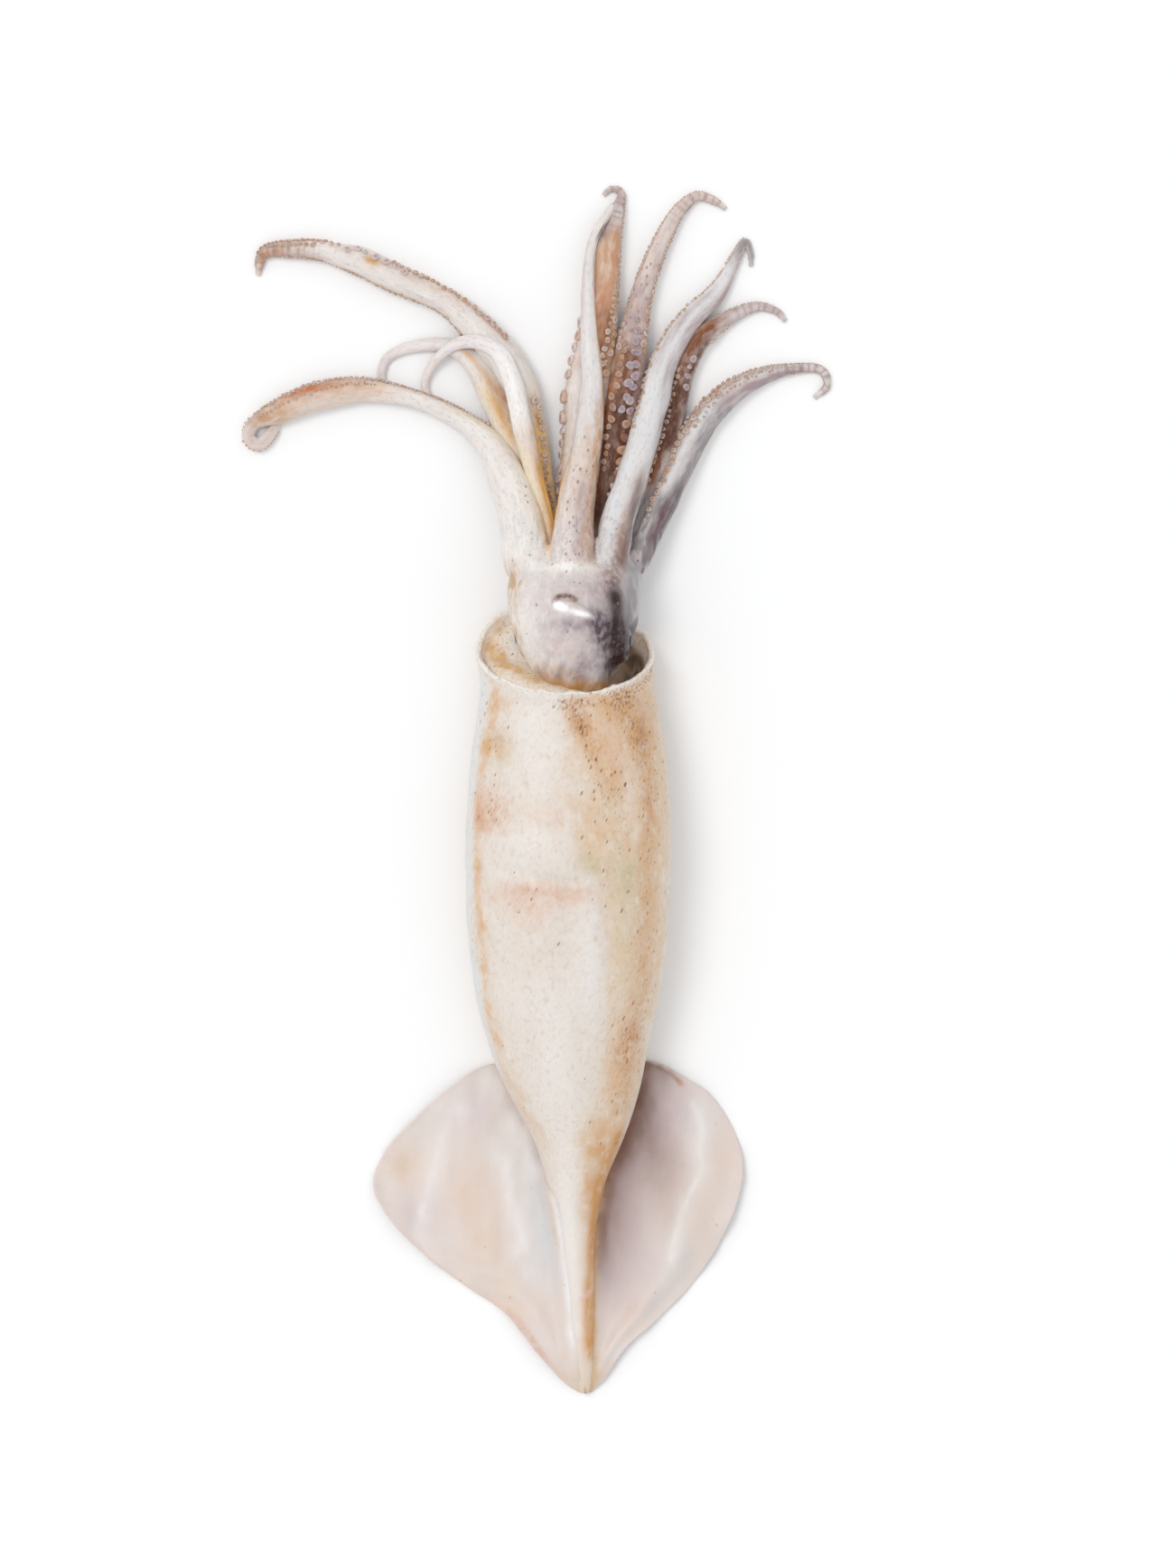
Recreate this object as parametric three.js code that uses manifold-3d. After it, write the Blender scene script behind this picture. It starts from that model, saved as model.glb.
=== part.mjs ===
// A whole raw squid, lying belly up: the mantle, the tail fins under it, the head with its
// funnel and eyes in the mantle's open front, eight arms and two tentacles.
// Millimetres, +Z up. While it is shaped, the surface it lies on is z = 0 and y = 0 is the belly
// side of the mantle's front lip. The tail points to -Y and the arms to +Y. At the end the origin
// moves to the bottom centre of the whole.

import * as THREE from 'three';
import { mergeVertices } from 'three/addons/utils/BufferGeometryUtils.js';
import Module from 'manifold-3d';

const wasm = await Module();
wasm.setup();

// ---------------------------------------------------------------- driving dimensions

const TAIL_Y = -156.6; // the mantle's length behind its belly lip
const TAIL_X = 3.6; // the tail's tip bends this far from the mantle's own line

// Sections of the mantle seen from above: y, middle, half width, height of its top.
const MANTLE = [
  [TAIL_Y, TAIL_X, 0.9, 2.6],
  [-150, 3.0, 2.5, 4.8],
  [-135, 2.6, 3.2, 7.0],
  [-120, 1.8, 4.4, 9.2],
  [-110, 1.5, 6.4, 12.0],
  [-100, 2.0, 9.9, 16.0],
  [-90, 1.1, 14.2, 20.0],
  [-80, 0.1, 17.5, 23.5],
  [-67, -0.4, 20.6, 27.0],
  [-50, -0.3, 22.6, 29.5],
  [-34, -0.2, 23.1, 30.0],
  [-19, -0.1, 22.3, 28.5],
  [-5, -0.1, 20.3, 26.4],
  [2, -0.5, 19.3, 25.0],
  [9, -0.9, 19.9, 24.2],
  [18, -0.8, 19.6, 23.6],
];
const MANTLE_RINGS = 34;
const MANTLE_SIDES = 24;
const RECESS_RINGS = 4;
const WIDEST = 0.42; // share of the height at which a section is widest
const BELLY = 2.0; // roundness of a section above its widest level: 2 is an ellipse
const BACK = 2.9; // and below it, where the flesh settles flat on the surface

// The front opening slants: its lip is at y = 0 on the belly and LIP_SLANT further on the back.
const LIP_SLANT = 17.8;
const LIP_FLARE = 4.5; // how much further the left of the back reaches
const SLANT_FROM = -30; // the rings behind this stand upright
const WALL = 2.2;
const RECESS_LEFT = 2.6; // how deep the opening is behind its lip, on the left
const RECESS_RIGHT = 9.0; // and on the right

// The fins' edge from the front root to the tail: x, y.
const LEFT_FIN = [
  [-14, -82.4],
  [-20, -84.0],
  [-26, -88.0],
  [-34, -95.0],
  [-41, -103.0],
  [-43.4, -110.0],
  [-40, -117.0],
  [-32, -125.4],
  [-22, -133.0],
  [-14, -138.4],
  [-7, -147.0],
  [-1, -153.6],
  [2.6, -156.2],
];
const RIGHT_FIN = [
  [14, -82.0],
  [20, -83.0],
  [25.4, -86.2],
  [31, -90.0],
  [36.4, -98.0],
  [38.4, -106.0],
  [37, -114.0],
  [33, -123.0],
  [27, -132.0],
  [19, -140.0],
  [12, -146.4],
  [7.6, -153.0],
  [4.6, -156.2],
];
const FIN_ROOT = 3.4; // thickness beside the mantle
const FIN_EDGE = 0.9; // and at the edge
const FIN_ROWS = 22;
const FIN_STEPS = 6;
const LEFT_FIN_FOLD = { at: 0.62, wide: 0.16, high: 1.5 };
const RIGHT_FIN_FOLD = { at: 0.72, wide: 0.15, high: 2.8 };
const FIN_WAVE = 1.4; // how far the edge lifts off the surface in its waves
const FIN_WAVES = 3;

// Sections of the head, funnel and neck: y, middle, half width, underside, top.
const HEAD = [
  [-13, 1.0, 5.5, 4.0, 12.0],
  [-5, 1.0, 7.0, 3.6, 14.5],
  [1, 1.2, 7.6, 3.0, 17.5],
  [4, 1.2, 9.2, 2.6, 19.5],
  [9, 1.2, 11.9, 2.2, 21.4],
  [14, 1.1, 13.6, 1.6, 22.3],
  [20, 0.9, 14.7, 0.6, 22.2],
  [25, 1.3, 14.4, 0.2, 19.8],
  [29, 1.8, 12.6, 0.6, 16.4],
  [33, 2.2, 8.6, 3.0, 12.0],
];
const FUNNEL = [
  [-3, 1.2, 7.6, 11.0, 18.5],
  [1.6, 1.2, 7.4, 12.0, 20.6],
  [6, 1.1, 7.8, 13.0, 23.2],
  [12, 0.9, 6.6, 15.0, 24.8],
  [17.5, 0.8, 4.8, 17.0, 25.2],
  [19.4, 0.8, 3.9, 18.4, 24.0],
];
const FUNNEL_MOUTH = { x: 0.8, y: 19.6, z: 23.1, radii: [3.0, 4.6, 0.9] }; // a slit
const EYES = [
  { x: 9.6, y: 11.5, z: 15.5, radii: [5.2, 7.2, 6.4] },
  { x: -8.4, y: 12.5, z: 7.5, radii: [4.6, 6.6, 5.6] },
];
const HEAD_SQUARENESS = 2.3; // 2 is an ellipse
const FUNNEL_SQUARENESS = 2;
const HEAD_SIDES = 16;
const HEAD_RINGS = 12;
const FUNNEL_RINGS = 5;
const EYE_SIDES = 10;
const EYE_ROWS = 7;

// The arms. A route runs from the head to the tip: x, y, width there, and how far the arm's
// underside lies above the surface, which it does where it rests on other arms.
// A row of suckers runs from one share of the route to another, at an angle round the arm: 0 is
// the right side of one that runs to +Y, 90 the top and 180 the left side.
const ARM_SIDES = 8;
const ARM_RINGS = 22;
const ARM_HEIGHT = 0.8; // an arm's height for its width
const ARMS = {
  long_left: {
    route: [
      [-2, 26, 5, 5],
      [-6, 45, 5.8, 1],
      [-8, 57, 7.2, 0],
      [-12, 70, 8.4, 0],
      [-19.5, 80.2, 7.8, 0],
      [-28, 87.3, 6.0, 0],
      [-38, 91.7, 6.6, 0],
      [-46, 95.6, 6.5, 0],
      [-55, 98.2, 4.5, 0],
      [-62, 98.6, 3.8, 0],
      [-68, 97.8, 2.7, 0],
      [-69.4, 92.8, 1.2, 0],
    ],
    suckers: [
      { angle: 35, from: 0.26, to: 0.56, count: 17, size: 1.0, end: 0.8 },
      { angle: 15, from: 0.56, to: 0.63, count: 5, size: 0.8, end: 0.7 },
    ],
  },
  front_left: {
    route: [
      [-5, 20, 9.5, 9.5],
      [-9.2, 29, 10.2, 8.5],
      [-10.6, 38, 10.0, 6.5],
      [-13, 46, 9.2, 4.5],
      [-16.5, 53.6, 7.4, 2.6],
      [-24, 60.4, 4.6, 1.2],
      [-34, 65.0, 4.1, 1.2],
      [-46, 67.2, 5.5, 0.3],
      [-57, 65.4, 6.5, 0],
      [-65, 62.2, 5.4, 0],
      [-70.4, 59.6, 3.2, 0],
      [-71.5, 56.6, 3.0, 0],
      [-69.2, 55.0, 3.2, 0],
      [-66.6, 57.2, 2.8, 0],
      [-65, 60.0, 2.0, 0],
    ],
    suckers: [],
  },
  tentacle_behind: {
    route: [
      [-5, 26, 5.0, 5.0],
      [-8, 41, 6.0, 3.0],
      [-12, 55, 7.2, 1.6],
      [-17, 66, 6.6, 1.0],
      [-21.6, 73.6, 5.0, 0.6],
      [-27, 77.0, 3.6, 0],
      [-35, 76.8, 2.7, 0],
      [-40.6, 74.2, 2.1, 0],
      [-41.8, 71.0, 1.9, 0],
      [-41.4, 68.6, 1.6, 0],
    ],
    suckers: [],
  },
  tentacle_front: {
    route: [
      [-2, 24, 5.0, 8.5],
      [-7.6, 47, 4.0, 7.4],
      [-10.4, 59, 4.6, 6.8],
      [-12.6, 69, 4.4, 6.2],
      [-16, 75.6, 4.0, 5.0],
      [-21, 77.8, 3.4, 4.0],
      [-26, 76.8, 2.6, 2.8],
      [-30.4, 72.8, 2.0, 1.2],
      [-32.2, 68.4, 1.7, 0.6],
      [-31.2, 64.8, 1.4, 0.8],
    ],
    suckers: [],
  },
  middle_behind: {
    route: [
      [0, 26, 5.0, 4.0],
      [0.4, 42, 6.0, 1.2],
      [2.4, 55, 8.0, 0],
      [4.0, 67, 9.6, 0],
      [6.6, 81, 8.0, 0],
      [8, 91, 6.2, 0],
      [9.0, 101, 5.4, 0],
      [10.8, 107.2, 3.2, 0],
      [11.6, 111.0, 1.7, 0],
      [9.6, 112.2, 1.4, 0],
      [7.6, 110.6, 1.1, 0],
    ],
    suckers: [{ angle: 172, from: 0.24, to: 0.62, count: 13, size: 1.35, end: 1.0 }],
  },
  middle_front: {
    route: [
      [0.4, 19, 9.0, 11.5],
      [0.6, 29, 9.6, 11.0],
      [1.2, 38, 8.8, 9.0],
      [2.4, 46, 7.8, 7.2],
      [4.4, 57, 6.4, 5.6],
      [5.1, 69, 5.3, 4.7],
      [4.4, 80, 3.8, 4.4],
      [4.2, 91, 2.9, 4.0],
      [5.2, 100, 2.2, 3.2],
      [8.0, 105.4, 2.0, 2.2],
      [9.8, 108.4, 1.3, 1.2],
    ],
    suckers: [],
  },
  centre_right: {
    route: [
      [3, 24, 5.0, 6.0],
      [7.4, 40, 5.6, 3.6],
      [10.2, 55, 7.8, 1.0],
      [12.2, 67, 8.5, 0],
      [14, 77, 7.2, 0],
      [15.8, 87, 5.3, 0],
      [19.6, 98, 4.4, 0],
      [24.4, 107, 3.2, 0],
      [28.4, 110.4, 2.3, 0],
      [32.2, 109.4, 1.8, 0],
      [34.8, 107.6, 1.2, 0],
    ],
    suckers: [
      { angle: 145, from: 0.2, to: 0.72, count: 18, size: 1.35, end: 0.7 },
      { angle: 50, from: 0.22, to: 0.72, count: 18, size: 1.3, end: 0.7 },
    ],
  },
  front_right: {
    route: [
      [6.5, 20, 7.0, 10.5],
      [9.2, 29, 7.4, 10.0],
      [10.8, 38, 7.5, 8.2],
      [14.4, 49, 7.2, 5.4],
      [18.4, 63, 6.8, 3.0],
      [21.4, 74, 6.2, 1.6],
      [27, 83, 5.5, 0.5],
      [33.2, 89.4, 4.1, 0],
      [37.2, 97, 2.4, 0],
      [39.2, 100.4, 1.6, 0],
      [40.4, 98, 1.3, 0],
      [40.6, 94.8, 1.0, 0],
    ],
    suckers: [{ angle: 160, from: 0.44, to: 0.68, count: 12, size: 0.8, end: 0.6 }],
  },
  right_behind: {
    route: [
      [8, 25, 5.0, 5.5],
      [16.4, 41, 6.4, 1.6],
      [20.8, 52, 7.0, 0],
      [23.2, 61, 5.2, 0],
      [25.4, 71, 5.2, 0],
      [29.4, 78.8, 5.0, 0],
      [35.4, 83.2, 3.3, 0],
      [42, 85.8, 2.1, 0],
      [46.4, 84.6, 1.5, 0],
      [48.2, 82.6, 1.1, 0],
    ],
    suckers: [],
  },
  right_edge: {
    route: [
      [12, 22, 5.4, 6.5],
      [15.6, 30, 5.6, 5.0],
      [19, 38, 6.2, 2.8],
      [23, 47, 6.8, 1.0],
      [28.4, 58, 6.8, 0],
      [34.6, 65.4, 6.0, 0],
      [42.4, 70.0, 4.4, 0],
      [50.4, 72.0, 2.4, 0],
      [56.2, 71.6, 1.9, 0],
      [57.6, 68.4, 1.7, 0],
      [54.6, 65.4, 1.1, 0],
    ],
    suckers: [{ angle: 152, from: 0.34, to: 0.62, count: 15, size: 1.0, end: 0.7 }],
  },
};
const SUCKER_SIDES = 6;
const SUCKER_ROWS = 2;
const SUCKER_PROUD = 0.12; // share of its size that a sucker's middle stands off the arm
const SUCKER_CLEAR = 0.9; // and the least that it stands above the surface
const SLIVER = 0.03; // splinters this thin, left where pieces join, are closed
const FLESH = { color: 0xe7ddd2, roughness: 0.38, metalness: 0 };

// ---------------------------------------------------------------- curves and solids

// Makes smooth functions of a table's first column, one for each other column. They never
// overshoot the table's own values.
function curvesOf(table) {
  const rows = [...table].sort((a, b) => a[0] - b[0]);
  const steps = rows.slice(1).map((row, i) => row.map((v, k) => (v - rows[i][k]) / (row[0] - rows[i][0])));
  const slopes = rows.map((row, i) => {
    if (i === 0) return steps[0];
    if (i === rows.length - 1) return steps[i - 1];
    return row.map((_, k) => {
      const before = steps[i - 1][k];
      const after = steps[i][k];
      return before * after <= 0 ? 0 : (2 * before * after) / (before + after);
    });
  });
  return (at) => {
    let i = 0;
    while (i < rows.length - 2 && at > rows[i + 1][0]) i += 1;
    const span = rows[i + 1][0] - rows[i][0];
    const t = THREE.MathUtils.clamp((at - rows[i][0]) / span, 0, 1);
    const s = 1 - t;
    return rows[i].slice(1).map((_, k) => {
      const [a, b] = [rows[i][k + 1], rows[i + 1][k + 1]];
      const [from, to] = [slopes[i][k + 1] * span, slopes[i + 1][k + 1] * span];
      return s * s * (1 + 2 * t) * a + s * s * t * from + t * t * (3 - 2 * t) * b - t * t * s * to;
    });
  };
}

// A closed skin over rings with equal counts of points. The rings turn counterclockwise when
// seen along the way from the first to the last.
function loft(rings) {
  const sides = rings[0].length;
  const points = rings.flat();
  const faces = [];
  for (let r = 0; r < rings.length - 1; r += 1) {
    for (let s = 0; s < sides; s += 1) {
      const [a, b] = [r * sides + s, r * sides + ((s + 1) % sides)];
      faces.push(a, a + sides, b, b, a + sides, b + sides);
    }
  }
  const middle = (ring) => ring.reduce((sum, p) => sum.add(p), new THREE.Vector3()).divideScalar(sides);
  const last = (rings.length - 1) * sides;
  points.push(middle(rings[0]), middle(rings.at(-1)));
  for (let s = 0; s < sides; s += 1) {
    const next = (s + 1) % sides;
    faces.push(points.length - 2, s, next, points.length - 1, last + next, last + s);
  }
  return new THREE.BufferGeometry().setFromPoints(points).setIndex(faces);
}

function solid(geometry) {
  const bare = geometry.clone();
  bare.deleteAttribute('normal');
  bare.deleteAttribute('uv');
  const merged = mergeVertices(bare);
  return new wasm.Manifold(
    new wasm.Mesh({
      numProp: 3,
      vertProperties: Float32Array.from(merged.attributes.position.array),
      triVerts: Uint32Array.from(merged.index.array),
    }),
  );
}

function ellipsoid({ x, y, z, radii }) {
  const ball = new THREE.SphereGeometry(1, EYE_SIDES, EYE_ROWS);
  return solid(ball.scale(...radii).translate(x, y, z));
}

const power = (value, exponent) => Math.sign(value) * Math.abs(value) ** exponent;

// ---------------------------------------------------------------- mantle

const mantleAt = curvesOf(MANTLE);

// A point on the mantle's skin, inset by a wall, at y and an angle: 90 degrees is the belly.
function mantlePoint(y, angle, inset) {
  const [middle, half, top] = mantleAt(y);
  const level = top * WIDEST;
  const [c, s] = [Math.cos(angle), Math.sin(angle)];
  const round = 2 / (s > 0 ? BELLY : BACK);
  const rise = s > 0 ? top - level : level;
  return new THREE.Vector3(
    middle + (half - inset) * power(c, round),
    y,
    level + (rise - inset) * power(s, round),
  );
}

// Rings up to the lip that slant more and more towards it. They start at a y for each angle.
function mantleRings(start, count, inset) {
  return Array.from({ length: count + 1 }, (_, r) =>
    Array.from({ length: MANTLE_SIDES }, (_, side) => {
      const angle = (2 * Math.PI * side) / MANTLE_SIDES;
      const y = THREE.MathUtils.lerp(start(angle), LIP_SLANT / 2, r / count);
      const lean = THREE.MathUtils.smoothstep(y, SLANT_FROM, LIP_SLANT / 2);
      const back = -Math.sin(angle);
      const left = -Math.cos(angle);
      const reach = (LIP_SLANT / 2) * back + LIP_FLARE * Math.max(back, 0) * Math.max(left, 0);
      return mantlePoint(y + lean * reach, angle, inset);
    }),
  );
}

function makeMantle() {
  const body = solid(loft(mantleRings(() => TAIL_Y, MANTLE_RINGS, 0)));
  const floor = (angle) => {
    const right = THREE.MathUtils.smoothstep(Math.cos(angle), 0.1, 0.9);
    return LIP_SLANT / 2 - THREE.MathUtils.lerp(RECESS_LEFT, RECESS_RIGHT, right);
  };
  const front = mantleRings(floor, RECESS_RINGS, WALL);
  const past = front.at(-1).map((p) => p.clone().add(new THREE.Vector3(0, WALL, 0)));
  return body.subtract(solid(loft([...front, past])));
}

// ---------------------------------------------------------------- fins

// A fin is a sheet that thins from the mantle's line to its edge, with one long fold and a
// waved rim.
function makeFin(edge, fold, side) {
  const rim = new THREE.CatmullRomCurve3(edge.map(([x, y]) => new THREE.Vector3(x, y, 0)));
  const rings = [];
  for (let r = 0; r <= FIN_ROWS; r += 1) {
    const t = r / FIN_ROWS;
    const outer = rim.getPoint(t);
    const rootY = THREE.MathUtils.lerp(edge[0][1], edge.at(-1)[1], t);
    const [rootX] = mantleAt(rootY);
    const upper = [];
    const lower = [];
    for (let k = 0; k <= FIN_STEPS; k += 1) {
      const v = k / FIN_STEPS;
      const swell = Math.sin(Math.PI * t);
      const wave = FIN_WAVE * v ** 3 * (0.5 - 0.5 * Math.cos(2 * Math.PI * FIN_WAVES * t));
      const lift = wave + fold.high * swell * Math.exp(-(((v - fold.at) / fold.wide) ** 2));
      const thick = THREE.MathUtils.lerp(FIN_ROOT, FIN_EDGE, Math.sqrt(v));
      const [x, y] = [THREE.MathUtils.lerp(rootX, outer.x, v), THREE.MathUtils.lerp(rootY, outer.y, v)];
      upper.push(new THREE.Vector3(x, y, lift + thick));
      lower.push(new THREE.Vector3(x, y, lift));
    }
    rings.push([...upper, ...lower.reverse()]);
  }
  if (side < 0) rings.forEach((ring) => ring.reverse());
  return solid(loft(rings));
}

// ---------------------------------------------------------------- head and funnel

function makeTrunk(sections, count, squareness) {
  const at = curvesOf(sections);
  const [first, last] = [sections[0][0], sections.at(-1)[0]];
  const rings = Array.from({ length: count + 1 }, (_, r) => {
    const y = first + ((last - first) * r) / count;
    const [middle, half, under, top] = at(y);
    return Array.from({ length: HEAD_SIDES }, (_, side) => {
      const angle = (2 * Math.PI * side) / HEAD_SIDES;
      return new THREE.Vector3(
        middle + half * power(Math.cos(angle), 2 / squareness),
        y,
        (under + top) / 2 + ((top - under) / 2) * power(Math.sin(angle), 2 / squareness),
      );
    });
  });
  return solid(loft(rings));
}

function makeHead() {
  const head = makeTrunk(HEAD, HEAD_RINGS, HEAD_SQUARENESS);
  const funnel = makeTrunk(FUNNEL, FUNNEL_RINGS, FUNNEL_SQUARENESS);
  return [head, funnel, ...EYES.map((eye) => ellipsoid(eye))];
}

// ---------------------------------------------------------------- arms and suckers

// An arm's middle line, and where its skin is at t along that line and an angle round it.
function armShape({ route }) {
  const line = new THREE.CatmullRomCurve3(
    route.map(([x, y, width, lift]) => new THREE.Vector3(x, y, lift + (ARM_HEIGHT * width) / 2)),
  );
  const widthAt = curvesOf(route.map(([, , width], i) => [i / (route.length - 1), width]));
  const skinAt = (t, angle, proud = 0) => {
    const ahead = line.getTangent(t);
    const right = new THREE.Vector3(ahead.y, -ahead.x, 0).normalize();
    const up = new THREE.Vector3().crossVectors(right, ahead);
    const [width] = widthAt(t);
    const across = right.multiplyScalar((width / 2 + proud) * Math.cos(angle));
    const above = up.multiplyScalar((ARM_HEIGHT * width * 0.5 + proud) * Math.sin(angle));
    return line.getPoint(t).add(across).add(above);
  };
  return { line, skinAt };
}

function makeArm(arm) {
  const { line, skinAt } = armShape(arm);
  const rings = Array.from({ length: ARM_RINGS + 1 }, (_, r) =>
    Array.from({ length: ARM_SIDES }, (_, side) =>
      skinAt(r / ARM_RINGS, (2 * Math.PI * (side + 0.5)) / ARM_SIDES),
    ),
  );
  const parts = [solid(loft(rings))];
  for (const { angle, from, to, count, size, end } of arm.suckers) {
    for (let i = 0; i < count; i += 1) {
      const step = i / (count - 1);
      const radius = THREE.MathUtils.lerp(size, end, step);
      const t = line.getUtoTmapping(THREE.MathUtils.lerp(from, to, step));
      const at = skinAt(t, THREE.MathUtils.degToRad(angle), SUCKER_PROUD * radius);
      const bump = new THREE.SphereGeometry(radius, SUCKER_SIDES, SUCKER_ROWS).rotateX(Math.PI / 2);
      parts.push(solid(bump.translate(at.x, at.y, Math.max(at.z, SUCKER_CLEAR * radius))));
    }
  }
  return parts;
}

// ---------------------------------------------------------------- the whole squid

const pieces = [
  makeMantle(),
  makeFin(LEFT_FIN, LEFT_FIN_FOLD, -1),
  makeFin(RIGHT_FIN, RIGHT_FIN_FOLD, 1),
  ...makeHead(),
  ...Object.values(ARMS).flatMap(makeArm),
];
const joined = pieces.reduce((sum, piece) => sum.add(piece)).subtract(ellipsoid(FUNNEL_MOUTH));
const whole = joined.asOriginal().simplify(SLIVER).getMesh();

const geometry = new THREE.BufferGeometry();
geometry.setAttribute('position', new THREE.BufferAttribute(Float32Array.from(whole.vertProperties), 3));
geometry.setIndex([...whole.triVerts]);
geometry.computeBoundingBox();
const { min, max } = geometry.boundingBox;
geometry.translate(-(min.x + max.x) / 2, -(min.y + max.y) / 2, -min.z);
geometry.computeVertexNormals();

const squid = new THREE.Mesh(geometry, new THREE.MeshStandardMaterial(FLESH));
squid.name = 'squid';

const group = new THREE.Group();
group.add(squid);

export default group;
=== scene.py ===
"""A whole raw squid, belly up on a pale surface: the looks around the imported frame.

The tables are in millimetres, as the part is drawn: y = 0 is the belly side of the mantle's lip,
the tail points to -Y, the arms to +Y, and z = 0 is the surface. Meshes are moved into the frame
and turned into metres when they are made.
"""

import math

import bpy
import numpy as np
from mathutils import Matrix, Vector


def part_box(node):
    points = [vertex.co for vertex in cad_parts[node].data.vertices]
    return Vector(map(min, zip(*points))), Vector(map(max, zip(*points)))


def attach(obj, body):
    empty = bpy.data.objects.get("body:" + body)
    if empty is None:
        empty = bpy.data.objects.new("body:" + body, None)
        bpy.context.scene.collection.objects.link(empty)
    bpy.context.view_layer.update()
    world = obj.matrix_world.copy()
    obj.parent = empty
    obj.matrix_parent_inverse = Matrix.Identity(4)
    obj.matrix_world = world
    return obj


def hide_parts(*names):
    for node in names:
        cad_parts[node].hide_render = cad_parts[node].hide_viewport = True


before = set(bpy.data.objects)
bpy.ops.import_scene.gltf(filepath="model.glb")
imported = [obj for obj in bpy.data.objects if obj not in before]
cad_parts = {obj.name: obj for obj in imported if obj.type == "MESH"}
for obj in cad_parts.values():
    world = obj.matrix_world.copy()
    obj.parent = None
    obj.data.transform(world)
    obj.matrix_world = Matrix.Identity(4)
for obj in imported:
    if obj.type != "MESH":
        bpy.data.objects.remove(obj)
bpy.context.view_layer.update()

MM = 0.001

# ---------------------------------------------------------------- the part's own sizes

TAIL_Y = -156.6
TAIL_X = 3.6
MANTLE = [  # y, middle, half width, top
    (TAIL_Y, TAIL_X, 0.9, 2.6), (-150, 3, 2.5, 4.8), (-135, 2.6, 3.2, 7), (-120, 1.8, 4.4, 9.2),
    (-110, 1.5, 6.4, 12), (-100, 2, 9.9, 16), (-90, 1.1, 14.2, 20), (-80, 0.1, 17.5, 23.5),
    (-67, -0.4, 20.6, 27), (-50, -0.3, 22.6, 29.5), (-34, -0.2, 23.1, 30), (-19, -0.1, 22.3, 28.5),
    (-5, -0.1, 20.3, 26.4), (2, -0.5, 19.3, 25), (9, -0.9, 19.9, 24.2), (18, -0.8, 19.6, 23.6),
]
WIDEST = 0.42  # the level where the mantle is widest, as a share of its height
BELLY = 2.0  # how square a cross-section is above that level and below it: 2 is an ellipse
BACK = 2.9
LIP_SLANT = 17.8  # how much further forward the lip is at the back than at the belly
LIP_FLARE = 4.5  # how much further still at the back's left
SLANT_FROM = -30  # the y where the slant begins
WALL = 2.2
LIP_WALL = 1.3  # the wall is thinner at the lip
RECESS_LEFT = 2.6  # how deep the opening is behind its lip, on the left and on the right
RECESS_RIGHT = 9.0

LEFT_FIN = [  # x and y along the edge, from the front to the tail
    (-14, -82.4), (-20, -84), (-26, -88), (-34, -95), (-41, -103), (-43.4, -110), (-40, -117),
    (-32, -125.4), (-22, -133), (-14, -138.4), (-7, -147), (-1, -153.6), (2.6, -156.2),
]
RIGHT_FIN = [
    (14, -82), (20, -83), (25.4, -86.2), (31, -90), (36.4, -98), (38.4, -106), (37, -114), (33, -123),
    (27, -132), (19, -140), (12, -146.4), (7.6, -153), (4.6, -156.2),
]
FIN_ROOT = 3.4  # how thick a fin is at its root and at its edge
FIN_EDGE = 0.9
FIN_WAVE = 1.4  # how high the waves of the edge are
FIN_EDGE_BULGE = 0.35  # how far its round edge goes out, at most
# Each fin's long fold: where it is between root and edge, how wide and how high, and how much of
# the corner between the fin and the tail is filled.
LEFT_FIN_FOLD = {"at": 0.62, "wide": 0.16, "high": 1.5, "fillet": 1.0}
RIGHT_FIN_FOLD = {"at": 0.72, "wide": 0.15, "high": 2.8, "fillet": 0.5}

HEAD = [  # y, middle, half width, underside, top
    (-13, 1, 5.5, 4, 12), (-5, 1, 7, 3.6, 14.5), (1, 1.2, 7.6, 3, 17.5), (4, 1.2, 9.2, 2.6, 19.5),
    (9, 1.2, 11.9, 2.2, 21.4), (14, 1.1, 13.6, 1.6, 22.3), (20, 0.9, 14.7, 0.6, 22.2),
    (25, 1.3, 14.4, 0.2, 19.8), (29, 1.8, 12.6, 0.6, 16.4), (33, 2.2, 8.6, 3, 12),
]
FUNNEL = [  # the same
    (-3, 1.2, 7.6, 11, 18.5), (1.6, 1.2, 7.4, 12, 20.6), (6, 1.1, 7.8, 13, 23.2),
    (12, 0.9, 6.6, 15, 24.8), (17.5, 0.8, 4.8, 17, 25.2), (19.4, 0.8, 3.9, 18.4, 24),
]
HEAD_SQUARENESS = 2.3
FUNNEL_SQUARENESS = 2

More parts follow.
